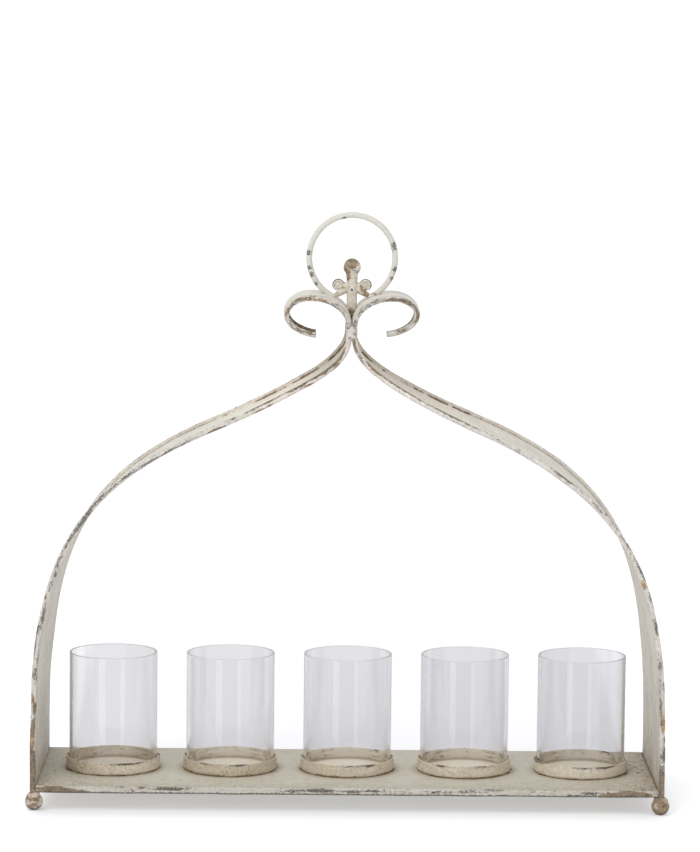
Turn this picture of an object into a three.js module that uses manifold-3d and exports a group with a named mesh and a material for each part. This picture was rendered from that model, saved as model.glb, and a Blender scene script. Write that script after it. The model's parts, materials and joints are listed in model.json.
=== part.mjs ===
// Hurricane candle holder: a footed tray under an arch of two strap arms, with loose glass cylinders
// standing in a row of shallow cups. Millimetres, +Z up. X runs along the tray and Y from front to
// back, with the origin on the ground under the middle of the tray.
import * as THREE from "three";
import { mergeVertices } from "three/addons/utils/BufferGeometryUtils.js";
import Module from "manifold-3d";

// Glass cylinders
const lightCount = 5;
const glassDiameter = 88.9;
const glassHeight = 117.9;
const glassWall = 2.2;
const glassLipRound = 0.8;

// Cups that hold the glasses
const cupClearance = 1.5;
const cupWall = 1.5;
const cupFloor = 1;
const cupHeight = 12.6;
const cupGap = 23.8;

// Tray, an upside-down sheet channel
const traySheet = 1.5;
const trayLip = 7;
const trayDepth = 190;
const trayEndMargin = 24.2;

// Ball feet
const footBallDiameter = 18;
const footFlatDiameter = 6;
const footNeckDiameter = 7;
const footNeckLength = 0.72;
const footInset = 3.5;
const footOutset = 2;

// Arms, channel straps with both long edges turned outward
const armSheet = 1.5;
const armFlange = 5.5;
const armLegRise = 30;
const armLegHandle = 183;
const armBendReach = 124;
const armBendRise = 362.5;
const armBendSlope = 22.7;
const armBendLowerHandle = 174;
const armBendUpperHandle = 112;
const armNeckHandle = 24;
const armNeckRise = 452.5;
const armNeckLength = 10;
const armNeckGap = 0.3;
const armParallelRun = 100;
const armTailDepth = 57;

// Scrolls at the arms' upper ends, measured from the top of the neck
const scrollTopReach = 40;
const scrollTopRise = 29.5;
const scrollSideReach = 68;
const scrollSideDrop = 20;
const scrollTailReach = 30;
const scrollTailDrop = 24.3;
const scrollTailSweep = 81;

// Handle ring, an open hoop of round rod seated on the scrolls
const ringRadius = 43;
const ringRod = 6;
const ringSeatReach = 18.2;
const ringSeatLift = 0.8;

// Finial, a cast lily standing in the fork above the neck
const finialKnobDiameter = 17.4;
const finialKnobRise = 55.3;
const finialStemDiameter = 11;
const finialPetalThickness = 7;
const petalCurlDiameter = 11.8;
const petalCurlReach = 13.7;
const petalCurlRise = 37.4;
const petalCurlFrom = -60;
const petalCurlTo = 135;
const petalRootTopRise = 41;
const petalRootLowRise = 30;
const petalTailReach = 17.2;
const petalTailRise = 25.8;
const petalTailWidth = 4.5;
const petalDip = 2;

// Weld pads over the neck joint
const weldWidth = 9.7;
const weldHeight = 11.5;
const weldThickness = 1.8;
const weldDrop = 7.5;

// Gap left where one piece is cut to fit its neighbour
const fitGap = 0.3;

// Facet counts
const roundSegments = 40;
const smallRoundSegments = 16;
const ringSteps = 44;
const rodSegments = 12;

// Points closer than this are one vertex when a body is closed for cutting
const mergeTolerance = 1e-4;

// Places worked out from the sizes above
const glassRadius = glassDiameter / 2;
const cupRadius = glassRadius + cupClearance + cupWall;
const cupPitch = 2 * cupRadius + cupGap;
const trayLength = (lightCount - 1) * cupPitch + 2 * (cupRadius + trayEndMargin);
const footRadius = footBallDiameter / 2;
const footCentre = Math.sqrt(footRadius ** 2 - (footFlatDiameter / 2) ** 2);
const footHeight = footCentre + Math.sqrt(footRadius ** 2 - (footNeckDiameter / 2) ** 2) + footNeckLength;
const armFoot = footHeight;
const trayTop = footHeight + trayLip;
const neckFoot = armFoot + armNeckRise;
const neckTop = neckFoot + armNeckLength;
const scrollTop = neckTop + scrollTopRise;
const ringAngle = Math.asin(ringSeatReach / ringRadius);

const wasm = await Module();
wasm.setup();

// Finishes
const agedPaint = new THREE.MeshStandardMaterial({ color: 0xd9d3c2, roughness: 0.62, metalness: 0.1 });
const trayPaint = new THREE.MeshStandardMaterial({ color: 0xc9c2ae, roughness: 0.66, metalness: 0.1 });
const castPaint = new THREE.MeshStandardMaterial({ color: 0xa8917a, roughness: 0.7, metalness: 0.2 });
const clearGlass = new THREE.MeshStandardMaterial({
  color: 0xe6e6ec,
  roughness: 0.05,
  metalness: 0,
  transparent: true,
  opacity: 0.3,
});

// Boolean helpers
function toSolid(geometry) {
  const bare = geometry.clone();
  bare.deleteAttribute("normal");
  bare.deleteAttribute("uv");
  const merged = mergeVertices(bare, mergeTolerance);
  return new wasm.Manifold(new wasm.Mesh({
    numProp: 3,
    vertProperties: new Float32Array(merged.attributes.position.array),
    triVerts: new Uint32Array(merged.index.array),
  }));
}

function toGeometry(solid) {
  const mesh = solid.getMesh();
  const geometry = new THREE.BufferGeometry();
  geometry.setAttribute("position", new THREE.BufferAttribute(mesh.vertProperties, 3));
  geometry.setIndex(new THREE.BufferAttribute(mesh.triVerts, 1));
  geometry.computeVertexNormals();
  return geometry;
}

// A body of revolution about Z from a profile of [radius, height] points
function lathe(profile, segments) {
  const points = profile.map(([radius, height]) => new THREE.Vector2(radius, height));
  return new THREE.LatheGeometry(points, segments).rotateX(Math.PI / 2);
}

// A closed body through rings of points that all have the same count. A section's points run so that
// the rings' outsides face outward; the flat section closes both ends.
function loft(rings, section) {
  const count = section.length;
  const last = (rings.length - 1) * count;
  const index = [];
  for (let r = 0; r + 1 < rings.length; r += 1) {
    for (let k = 0; k < count; k += 1) {
      const a = r * count + k;
      const b = r * count + (k + 1) % count;
      index.push(a, b, b + count, a, b + count, a + count);
    }
  }
  for (const [a, b, c] of THREE.ShapeUtils.triangulateShape(section, [])) {
    index.push(a, c, b, last + a, last + b, last + c);
  }
  const geometry = new THREE.BufferGeometry();
  geometry.setFromPoints(rings.flat());
  geometry.setIndex(index);
  geometry.computeVertexNormals();
  return geometry;
}

// The right arm's smooth face in the XZ plane, as curves from its foot to the scroll's tail
function armCurves() {
  const slope = THREE.MathUtils.degToRad(armBendSlope);
  const along = new THREE.Vector2(-Math.cos(slope), Math.sin(slope));
  const foot = new THREE.Vector2(trayLength / 2, armFoot);
  const leg = new THREE.Vector2(foot.x, armFoot + armLegRise);
  const bend = new THREE.Vector2(armBendReach, armFoot + armBendRise);
  const neck = new THREE.Vector2(armNeckGap / 2, neckFoot);
  const fork = new THREE.Vector2(neck.x, neckTop);
  const sideHeight = scrollTop - scrollSideDrop;
  const quarter = Math.PI / 2;
  const tailEnd = -THREE.MathUtils.degToRad(scrollTailSweep);
  const legHandle = new THREE.Vector2(leg.x, leg.y + armLegHandle);
  const lowerHandle = bend.clone().addScaledVector(along, -armBendLowerHandle);
  const upperHandle = bend.clone().addScaledVector(along, armBendUpperHandle);
  const neckHandle = new THREE.Vector2(neck.x, neck.y - armNeckHandle);
  const rise = new THREE.EllipseCurve(scrollTopReach, neckTop, scrollTopReach - neck.x, scrollTopRise,
    2 * quarter, quarter, true);
  const fall = new THREE.EllipseCurve(scrollTopReach, sideHeight, scrollSideReach - scrollTopReach,
    scrollSideDrop, quarter, 0, true);
  const tail = new THREE.EllipseCurve(scrollTailReach, sideHeight, scrollSideReach - scrollTailReach,
    scrollTailDrop, 0, tailEnd, true);
  return [
    { part: "leg", curve: new THREE.LineCurve(foot, leg), steps: 1 },
    { part: "shoulder", curve: new THREE.CubicBezierCurve(leg, legHandle, lowerHandle, bend), steps: 16 },
    { part: "sweep", curve: new THREE.CubicBezierCurve(bend, upperHandle, neckHandle, neck), steps: 11 },
    { part: "neck", curve: new THREE.LineCurve(neck, fork), steps: 1 },
    { part: "rise", curve: rise, steps: 9 },
    { part: "fall", curve: fall, steps: 7 },
    { part: "tail", curve: tail, steps: 7 },
  ];
}

// Stations along the arm: its part, a point, the outward direction square to it, and the run from the foot
function armStations() {
  const stations = [];
  let run = 0;
  for (const { part, curve, steps } of armCurves()) {
    const length = curve.getLength();
    for (let k = stations.length ? 1 : 0; k <= steps; k += 1) {
      const tangent = curve.getTangentAt(k / steps);
      stations.push({
        part,
        point: curve.getPointAt(k / steps),
        outward: new THREE.Vector2(tangent.y, -tangent.x),
        run: run + length * (k / steps),
      });
    }
    run += length;
  }
  return stations;
}

const stations = armStations();
const armRun = stations[stations.length - 1].run;
const armTaper = (trayDepth - armTailDepth) / (armRun - armParallelRun);

// Front-to-back depth of the strap at a run from its foot
function armDepth(run) {
  return trayDepth - armTaper * Math.max(0, run - armParallelRun);
}

// Sweeps a section of [outward, across] points, made for each depth, along one arm
function sweepArm(side, sectionAt) {
  const rings = stations.map(({ point, outward, run }) => {
    const ring = sectionAt(armDepth(run)).map(([out, across]) => new THREE.Vector3(
      side * (point.x + outward.x * out),
      across,
      point.y + outward.y * out,
    ));
    return side > 0 ? ring : ring.reverse();
  });
  const flat = sectionAt(armDepth(0)).map(([out, across]) => new THREE.Vector2(out, across));
  return loft(rings, side > 0 ? flat : flat.reverse().map((p) => new THREE.Vector2(-p.x, p.y)));
}

// The channel section: a web on the smooth face and a flange along each edge
function channelSection(depth) {
  const edge = depth / 2;
  const inside = edge - armSheet;
  return [
    [0, -edge], [armFlange, -edge], [armFlange, -inside], [armSheet, -inside],
    [armSheet, inside], [armFlange, inside], [armFlange, edge], [0, edge],
  ];
}

// A full block a little larger than the strap, which trims the pieces that sit on it
function trimSection(depth) {
  const edge = depth / 2;
  return [[-fitGap, -edge], [armFlange, -edge], [armFlange, edge], [-fitGap, edge]];
}

const armTrim = toSolid(sweepArm(1, trimSection)).add(toSolid(sweepArm(-1, trimSection)));

function arm(side) {
  return sweepArm(side, channelSection);
}

// Inverted channel along X: a flat top with a lip along the front and back edges
function tray() {
  const edge = trayDepth / 2;
  const inside = edge - traySheet;
  const under = trayTop - traySheet;
  const outline = new THREE.Shape([
    [-edge, footHeight], [-inside, footHeight], [-inside, under], [inside, under],
    [inside, footHeight], [edge, footHeight], [edge, trayTop], [-edge, trayTop],
  ].map(([y, z]) => new THREE.Vector2(y, z)));
  const bar = new THREE.ExtrudeGeometry(outline, { depth: trayLength, bevelEnabled: false });
  const axes = new THREE.Matrix4().makeBasis(
    new THREE.Vector3(0, 1, 0),
    new THREE.Vector3(0, 0, 1),
    new THREE.Vector3(1, 0, 0),
  );
  return bar.applyMatrix4(axes).translate(-trayLength / 2, 0, 0);
}

// Ball with a small flat to stand on and a short neck under the arm and the tray
function foot() {
  const flat = footFlatDiameter / 2;
  const neck = footNeckDiameter / 2;
  const from = -Math.acos(flat / footRadius);
  const to = Math.acos(neck / footRadius);
  const profile = [[0, 0], [flat, 0]];
  const steps = 8;
  for (let k = 1; k <= steps; k += 1) {
    const angle = from + (to - from) * (k / steps);
    profile.push([footRadius * Math.cos(angle), footCentre + footRadius * Math.sin(angle)]);
  }
  profile.push([neck, footHeight], [0, footHeight]);
  return lathe(profile, smallRoundSegments);
}

// Shallow pan with a flat floor
function cup() {
  const inside = cupRadius - cupWall;
  return lathe([
    [0, 0], [cupRadius, 0], [cupRadius, cupHeight], [inside, cupHeight], [inside, cupFloor], [0, cupFloor],
  ], roundSegments);
}

// Plain cylinder, open at both ends, with eased lips
function glass() {
  const inner = glassRadius - glassWall;
  const ease = glassLipRound;
  return lathe([
    [inner + ease, 0], [glassRadius - ease, 0], [glassRadius, ease], [glassRadius, glassHeight - ease],
    [glassRadius - ease, glassHeight], [inner + ease, glassHeight], [inner, glassHeight - ease],
    [inner, ease], [inner + ease, 0],
  ], roundSegments);
}

// Height of the scroll's upper face at a distance from the middle of the arch
function scrollHeight(reach) {
  const share = (scrollTopReach - reach) / (scrollTopReach - armNeckGap / 2);
  return neckTop + scrollTopRise * Math.sqrt(1 - share ** 2);
}

const ringCentre = scrollHeight(ringSeatReach) + ringSeatLift
  + Math.sqrt(ringRadius ** 2 - ringSeatReach ** 2);

// Round rod along the ring's arc, from one seat over the top to the other
class RingArc extends THREE.Curve {
  constructor(extra) {
    super();
    this.extra = extra;
  }

  getPoint(t, target = new THREE.Vector3()) {
    const half = Math.PI - ringAngle + this.extra;
    const angle = Math.PI / 2 + half * (2 * t - 1);
    return target.set(ringRadius * Math.cos(angle), 0, ringCentre + ringRadius * Math.sin(angle));
  }
}

function ringBar(radius, extra) {
  const section = new THREE.Shape();
  section.absarc(0, 0, radius, 0, 2 * Math.PI, false);
  return toSolid(new THREE.ExtrudeGeometry(section, {
    steps: ringSteps,
    curveSegments: rodSegments / 2,
    extrudePath: new RingArc(extra),
  }));
}

function ring() {
  return toGeometry(ringBar(ringRod / 2, 0).subtract(armTrim));
}

// Turned stem that narrows into the fork, with a round knob on top
function stem() {
  const radius = finialStemDiameter / 2;
  const knob = finialKnobDiameter / 2;
  const centre = neckTop + finialKnobRise;
  const from = -Math.acos(radius / knob);
  const profile = [[0, neckTop], [radius, neckTop + radius]];
  const steps = 9;
  for (let k = 0; k < steps; k += 1) {
    const angle = from + (Math.PI / 2 - from) * (k / steps);
    profile.push([knob * Math.cos(angle), centre + knob * Math.sin(angle)]);
  }
  profile.push([0, centre + knob]);
  return toSolid(lathe(profile, smallRoundSegments));
}

// Side petal: a curl on a root that springs from the stem, with a tail that reaches down to the scroll
function petal(side) {
  const curl = petalCurlDiameter / 2;
  const curlHeight = neckTop + petalCurlRise;
  const rootTop = neckTop + petalRootTopRise;
  const rootLow = neckTop + petalRootLowRise;
  const tailLow = neckTop + petalTailRise;
  const tailIn = petalTailReach - petalTailWidth;
  const curlFrom = THREE.MathUtils.degToRad(petalCurlFrom);
  const curlTo = THREE.MathUtils.degToRad(petalCurlTo);
  const waist = curlHeight + curl * Math.sin(curlFrom);
  const outline = new THREE.Shape();
  outline.moveTo(0, rootLow);
  outline.quadraticCurveTo(tailIn / 2, rootLow, tailIn, tailLow);
  outline.lineTo(petalTailReach, tailLow);
  outline.lineTo(petalTailReach, (waist + tailLow) / 2);
  outline.absarc(petalCurlReach, curlHeight, curl, curlFrom, curlTo, false);
  outline.quadraticCurveTo(petalCurlReach / 2, rootTop - petalDip, 0, rootTop);
  const plate = new THREE.ExtrudeGeometry(outline, {
    depth: finialPetalThickness,
    curveSegments: 8,
    bevelEnabled: false,
  });
  plate.translate(0, 0, -finialPetalThickness / 2).rotateX(Math.PI / 2);
  return toSolid(side > 0 ? plate : plate.rotateZ(Math.PI));
}

function finial() {
  const whole = stem().add(petal(1)).add(petal(-1));
  return toGeometry(whole.subtract(armTrim).subtract(ringBar(ringRod / 2 + fitGap, fitGap / ringRadius)));
}

// Low oval dome whose flat back lies along the straps' tapered edges
function weld() {
  const profile = [[0, 0]];
  const steps = 4;
  for (let k = 0; k < steps; k += 1) {
    const angle = (Math.PI / 2) * (k / steps);
    profile.push([Math.cos(angle), weldThickness * Math.sin(angle)]);
  }
  profile.push([0, weldThickness]);
  return lathe(profile, smallRoundSegments).scale(weldWidth / 2, weldHeight / 2, 1);
}

const model = new THREE.Group();

function place(name, geometry, material, x, y, z) {
  const mesh = new THREE.Mesh(geometry, material);
  mesh.name = name;
  mesh.position.set(x, y, z);
  model.add(mesh);
  return mesh;
}

place("tray", tray(), trayPaint, 0, 0, 0);
place("left_arm", arm(-1), agedPaint, 0, 0, 0);
place("right_arm", arm(1), agedPaint, 0, 0, 0);

for (const [end, side] of [["left", -1], ["right", 1]]) {
  for (const [row, face] of [["front", -1], ["back", 1]]) {
    const x = side * (trayLength / 2 + footOutset);
    place(`foot_${row}_${end}`, foot(), castPaint, x, face * (trayDepth / 2 - footInset), 0);
  }
}

for (let k = 0; k < lightCount; k += 1) {
  const x = (k - (lightCount - 1) / 2) * cupPitch;
  place(`candle_cup_${k + 1}`, cup(), trayPaint, x, 0, trayTop);
  place(`hurricane_glass_${k + 1}`, glass(), clearGlass, x, 0, trayTop + cupFloor);
}

place("handle_ring", ring(), agedPaint, 0, 0, 0);
place("finial", finial(), castPaint, 0, 0, 0);

const neckEnd = stations.find(({ part }) => part === "neck");
const weldReach = armDepth(neckEnd.run - weldDrop) / 2 + fitGap;
const weldTilt = Math.atan(armTaper / 2);
for (const [row, face] of [["front", -1], ["back", 1]]) {
  const pad = place(`neck_weld_${row}`, weld(), agedPaint, 0, face * weldReach, neckTop - weldDrop);
  pad.rotation.set(face < 0 ? Math.PI / 2 - weldTilt : weldTilt - Math.PI / 2, 0, 0);
}

export default model;
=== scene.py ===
"""Finish of a five-light hurricane candle holder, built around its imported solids.

Metres, +Z up, with X along the tray and the viewer on the -Y side.
"""

import json
import math

import bmesh
import bpy
import numpy as np
from mathutils import Matrix, Vector, noise

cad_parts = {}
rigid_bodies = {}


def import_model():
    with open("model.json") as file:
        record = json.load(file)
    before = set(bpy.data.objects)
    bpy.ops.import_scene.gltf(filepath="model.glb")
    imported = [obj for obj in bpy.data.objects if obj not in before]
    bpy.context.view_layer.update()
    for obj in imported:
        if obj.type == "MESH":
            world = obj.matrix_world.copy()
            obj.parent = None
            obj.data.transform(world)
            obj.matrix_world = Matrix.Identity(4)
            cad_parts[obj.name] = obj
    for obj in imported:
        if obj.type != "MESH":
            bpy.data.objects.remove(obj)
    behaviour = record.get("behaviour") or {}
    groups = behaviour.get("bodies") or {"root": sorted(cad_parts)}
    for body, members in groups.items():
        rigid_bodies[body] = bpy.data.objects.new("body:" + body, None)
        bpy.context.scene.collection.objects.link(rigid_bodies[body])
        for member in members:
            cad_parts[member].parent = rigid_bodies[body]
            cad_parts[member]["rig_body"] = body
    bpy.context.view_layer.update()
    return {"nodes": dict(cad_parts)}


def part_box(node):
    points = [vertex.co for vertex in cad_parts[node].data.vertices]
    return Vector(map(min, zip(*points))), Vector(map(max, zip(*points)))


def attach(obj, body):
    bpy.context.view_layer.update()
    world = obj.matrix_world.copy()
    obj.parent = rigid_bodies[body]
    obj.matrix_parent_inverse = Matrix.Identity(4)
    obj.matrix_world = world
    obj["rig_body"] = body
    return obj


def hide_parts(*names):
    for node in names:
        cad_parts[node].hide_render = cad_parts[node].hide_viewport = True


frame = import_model()

MM = 0.001
MERGE_GAP = 1e-7
SEED_WAY = (7.3, 3.1, 5.7)

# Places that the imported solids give
tray_low, tray_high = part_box("tray")
cup_low, cup_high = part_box("candle_cup_1")
LIGHTS = sum(name.startswith("candle_cup_") for name in frame["nodes"])
FOOT_TOP = tray_low.z
TRAY_TOP = tray_high.z
TRAY_REACH = tray_high.x
TRAY_EDGE = tray_high.y
RING_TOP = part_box("handle_ring")[1].z
CUP_RADIUS = (cup_high.x - cup_low.x) / 2
CUP_PITCH = (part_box(f"candle_cup_{LIGHTS}")[0].x - cup_low.x) / (LIGHTS - 1)

# Sheet metal
SHEET = 1.5 * MM
BEND_ROUND = 2.0 * MM
RIM_ROUND = 0.5 * MM
CORNER_ROUND = 0.8 * MM

# Arms, from the foot to the scroll's tail
ARM_FLANGE = 5.5 * MM
LEG_RISE = 30 * MM
LEG_HANDLE = 183 * MM
BEND_REACH = 124 * MM
BEND_RISE = 362.5 * MM
BEND_SLOPE = math.radians(22.7)
BEND_LOWER_HANDLE = 174 * MM
BEND_UPPER_HANDLE = 112 * MM
NECK_HANDLE = 24 * MM
NECK_RISE = 452.5 * MM
NECK_LENGTH = 10 * MM
NECK_HALF_GAP = 0.15 * MM
NECK_TOP = FOOT_TOP + NECK_RISE + NECK_LENGTH
PARALLEL_RUN = 100 * MM
TAIL_DEPTH = 57 * MM
SCROLL_TOP_REACH = 40 * MM
SCROLL_TOP_RISE = 29.5 * MM
SCROLL_SIDE_REACH = 68 * MM
SCROLL_SIDE_DROP = 20 * MM
SCROLL_TAIL_REACH = 30 * MM
SCROLL_TAIL_DROP = 24.3 * MM
SCROLL_TAIL_SWEEP = 81
ARM_STEP = 2.0 * MM
LEG_POINTS = 20
CURVE_POINTS = 200
ARC_POINTS = 120

# Unevenness of the sheet: layer of the noise, size of its waves, and how far they go
LIP_WAVE = (0, 16 * MM, 0.35 * MM)
EDGE_WAVE = (4, 45 * MM, 0.3 * MM)
BOW_WAVE = (9, 70 * MM, 0.3 * MM)
TRAY_WAVE = (2, 24 * MM, 0.3 * MM)
TRAY_SEED = 3
EDGE_BAND = 1.5 * SHEET

# Wear of the arms; -1 is the left side and 1 the right
BEND_WEAR_GAP = 1.0 * MM
TROUGH_START = 0.9 * SHEET
SKIRT_FADE = 2 * MM
SKIRT_GRIME = 0.35
INNER_WEAR = 0.22
JOINT_GAP = {-1: 3 * MM, 1: 0.0}
NO_JOINT = 1.0
FOOT_GRIME = {-1: 1.0, 1: 1.1}
FOOT_GRIME_LENGTH = 75 * MM
NECK_GRIME = 0.5
NECK_GRIME_RUN = 560 * MM
NECK_GRIME_FADE = 20 * MM
TAIL_RUST_START = 680 * MM
TAIL_RUST_LENGTH = 40 * MM
TAIL_RUST_LIMIT = {-1: 0.8, 1: 0.0}
TAIL_OCHRE = 0.8

# Broken line of rust in the crease, on the way up to the neck
CREASE_RUNS = np.array([415, 455, 590, 625]) * MM
CREASE_RUST = [0.0, 0.9, 0.9, 0.0]
CREASE_WIDTH = 1.3 * MM
CREASE_DASHES = [(14, 21 * MM, 0.7), (14, 6 * MM, 0.7)]
CREASE_MEAN = 0.92
CREASE_LIMIT = 1.5
CREASE_OCHRE = 0.25

# Warmer paint on the same stretch, and a corner with less wash and less painted shade
UPPER_RUNS = np.array([420, 480, 590, 625]) * MM
UPPER_SHARE = [0.0, 1.0, 1.0, 0.0]
UPPER_CORNER_GAP = 1.6 * MM
UPPER_WARMTH = 0.6

# Wear of the tray
TRAY_STEPS = 310
TOP_SHARE = 0.05
LIP_RIM_GAP = 0.6 * MM
LIP_BAND = 3 * MM
LIP_FADE = 2 * MM
# Dark steel along the lip's lower rim, darkest at the very bottom
LOWER_RIM_DARKENING = 2.0
LOWER_RIM_HEIGHT = 1.6 * MM
JOINT_RUST = 1.3
JOINT_FADE = 2.8 * MM
JOINT_MARGIN = 6 * MM
JOINT_OCHRE = 0.5
JOINT_OCHRE_START = 0.1
CUP_RING_RUST = 1.05
CUP_RING_WIDTH = 2.6 * MM
CUP_RING_MEAN = 0.7
CUP_RING_WAVE = (5, 14 * MM, 0.6)
CUP_RING_SEED = 6
PITS_RUST = 0.32
PITS_LENGTH = 24 * MM
SCRATCH_GAIN = 1.6
# Darker towards each end of the tray, partly grime and partly painted shade under the arms
END_GRIME_AND_SHADE = {-1: 0.5, 1: 1.1}
END_GRIME_AND_SHADE_LENGTH = 26 * MM
FRONT_GRIME = 0.6
FRONT_GRIME_LENGTH = 22 * MM

# Cups and glasses; a list has one value for each cup in turn, apart from the rounds of a section's corners
CUP_WALL = 1.5 * MM
CUP_FLOOR = 1.0 * MM
CUP_ROUNDS = np.array([0, 1.0, 0.6, 0.6, 1.4, 0]) * MM
CUP_WOBBLE = 0.25 * MM
CUP_STEPS = 144
WOBBLE_HEIGHT = 40 * MM
WOBBLE_START = 5 * MM
CHIP_HEIGHT = 1.5 * MM
BASE_RUST_HEIGHT = 2.6 * MM
CUP_FLOOR_EDGE = 1.5 * CUP_FLOOR
CUP_FLOOR_RUST = 0.25
CUP_FLOOR_STAIN_AND_SHADE = 0.8
WALL_RUST = 0.42
FLANK_RUST = 0.4
FLANK_POWER = 1.5
PATCH_RUST = 0.3
ASIDE_RUST_AND_SHADE = 0.25
INNER_OCHRE = 0.9
OUTER_OCHRE = 0.5
# Brown on each cup's left front side, partly stain and partly painted shade
SIDE_STAIN_AND_SHADE_TURN = -155
SIDE_STAIN_AND_SHADE_SPREAD = 38
CUP_GRIME = [0.6, 1.8, 0.8, 0.6, 0.1]
CUP_STAIN = [0.2, -0.2, -0.8, -0.3, 0.1]
CUP_INSIDE_PATCHES = [1.8, 1.6, 1.5, 1.5, 1.7]
CUP_SIDE_STAIN_AND_SHADE = [1.6, 0.8, 0.4, 0.3, 0.6]
CUP_BASE_RUST = [1.1, 1.4, 1.4, 1.2, 1.0]
WARM_CUPS = (1, 2, 3, 4)
GLASS_WALL = 2.2 * MM
GLASS_LIP = 0.4 * MM
GLASS_EDGE = 1.1 * GLASS_LIP
GLASS_STEPS = 360
# Glass tint darkens from the first glass to the last, which is painted shade, and by this share towards the
# bottom
LOW_DARKENING = 0.25

# Mottling of the cups: seed and size of the noise, mean and swing
CUP_PATCHES = (10, 20 * MM, 0.15, 1.5)
BASE_PATCHES = (40, 12 * MM, 0.75, 0.5)
FLANK_PATCHES = (60, 12 * MM, 0.6, 0.8)

# Castings
HOLLOW_ROUNDS = 8
DEPTH_ROUNDS = 2
HOLLOW_REACH = 0.5 * MM
HOLLOW_GAIN = 1.4
WEAR_REACH = 4 * MM
LUMP_SIZE = 4 * MM
LUMP_SEED = 31
LUMP_WAY = (1.0, 1.0, 0.4)

# Feet; by end, a shoulder's radius under the tray and its lean along X, and the gain of rust and the grime
FOOT_FLAT = 3 * MM
FOOT_LUMPS = 0.12 * MM
FOOT_SHOULDERS = {"left": (5.3 * MM, 0.5 * MM), "right": (6.1 * MM, -0.9 * MM)}
FOOT_WEAR = {"left": (1.0, 0.4), "right": (1.45, 1.9)}
SHOULDER_START = 4.0 * MM
SHOULDER_START_RADIUS = 8.0 * MM
SHOULDER_ROUND = 0.8 * MM

# Weld between a foot and the tray, as balls: centre from the foot's top, and radii (mm)
FOOT_WELD = [((0, 0, -0.8), (4.6, 4.4, 2.0)), ((2.5, -2.0, -0.6), (2.2, 2.0, 1.6)),
             ((-2.8, -1.2, -0.7), (2.0, 2.2, 1.5))]

# Ring, and the weld at its ends as balls: reach and half width (mm)
RING_RADIUS = 43 * MM
RING_ROD = 3 * MM
RING_SEAT_REACH = 18.2 * MM
RING_STEPS = 160
RING_WELD = [(18.5, 3.0), (21.5, 2.8), (24.5, 2.0)]
RING_WELD_RISE = 1.2 * MM
RING_WELD_DEPTH = 3.2 * MM
RING_WELD_HEIGHT = 2.2 * MM

# Finial: the knob, and the stem and the leaf on each face as rises over the neck and radii (mm)
KNOB_RADIUS = 8.7 * MM
KNOB_RISE = 55.3 * MM
STEM_RISES = [1.5, 5, 9, 14, 22, 30, 38, 44, 47, 49]
STEM_RADII = [1.2, 4.2, 5.6, 5.4, 5.2, 5.2, 5.4, 5.5, 5.8, 6.2]
LEAF_RISES = [42.5, 41, 38, 34, 30, 24, 17, 11]
LEAF_RADII = [0.4, 1.3, 2.8, 4.0, 4.5, 4.6, 4.7, 4.4]
LEAF_OUT = 2.6 * MM
LEAF_FLATTEN = 0.95

# Petals: the curl's middle and its rolled edge (mm), the lobe, and the limb and tail as reach,
# rise and radius (mm)
CURL_REACH = 13.7
CURL_RISE = 37.4
LOBE_RADIUS = 5.3 * MM
LOBE_DEPTH = 2.6 * MM
LOBE_BUTTON = (1.3 * MM, 3.3 * MM, 1.3 * MM)
CURL_RADIUS = 4.5
CURL_SWEEP = (165, -70)
CURL_ROD = (1.8, 1.5)
CURL_STEPS = 30
PETAL_LIMB = [(1.5, 35.2, 5.4), (5, 35.2, 4.9), (8, 35.8, 4.4), (11, 36.6, 3.8)]
PETAL_TAIL = [(3, 33.5, 3.6), (8, 31.5, 3.4), (12.5, 29, 3.1), (16.6, 26.9, 2.7)]
CURL_WEAR_RADIUS = 5.8
CURL_WEAR_TURNS = range(-40, 161, 25)
CURL_WEAR_OUT = -1.5
CURL_SPOT_RADIUS = 1.9
CURL_SPOT_STRENGTH = 1.2

# Weld at the neck, as lumps: place and size as shares of the pad's half sizes
WELD_LUMPS = [(-0.35, 0.45, 0.62), (0.4, 0.3, 0.6), (-0.2, -0.4, 0.66), (0.35, -0.5, 0.55), (0, 0.9, 0.5)]
WELD_PAD_DEPTH = 0.9
WELD_LUMP_HEIGHT = 0.8
WELD_LUMP_OUT = 0.3 * MM
WELD_UNEVENNESS = 0.15 * MM

# Worn spots on the castings: place (mm), radius (mm) and strength; a foot's are from its ball's centre, the
# ring's from its lowest point, the finial's from the neck's top and the weld's from its middle
FOOT_RUST = [
    ((4, -6, 1), 5, 0.8), ((-5, -5, -4), 5, 0.8), ((0, 6, 0), 6, 0.8), ((-2, -8, 3), 3, 0.7),
    ((2, 0, -8), 7, 0.9),
]
# The last spot, at the ball's bottom, is painted shade: dark steel where the ball meets the floor
FOOT_BARE_AND_SHADE = [
    ((6, -4, -5), 4, 1.0), ((-7, -4, 0), 3, 0.9), ((-1, -6, -6), 4, 1.0), ((7, -3, 3), 3, 0.8),
    ((0, -4, 8), 4, 0.7), ((0, 0, -8.485), 6, 1.6),
]
RING_RUST = [((-20, -2, 5), 5, 0.5), ((22, -2, 6), 6, 0.7), ((-36, -2, 20), 5, 0.5)]
RING_BARE = [
    ((-8, -1, 83), 3, 2.1), ((41, -1, 57), 3, 2.2), ((42, -2, 52), 2.5, 2.0), ((43, -2, 32), 3.5, 2.1),
    ((40, -1, 23), 3, 2.0), ((-44, -3, 48), 3, 2.3), ((-43, -3, 33), 3, 2.1), ((-37, -3, 16), 3, 2.2),
    ((-41, -3, 26), 3, 1.9), ((38, 1, 62), 3, 1.2), ((-20, 2, 80), 3, 1.2),
]
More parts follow.
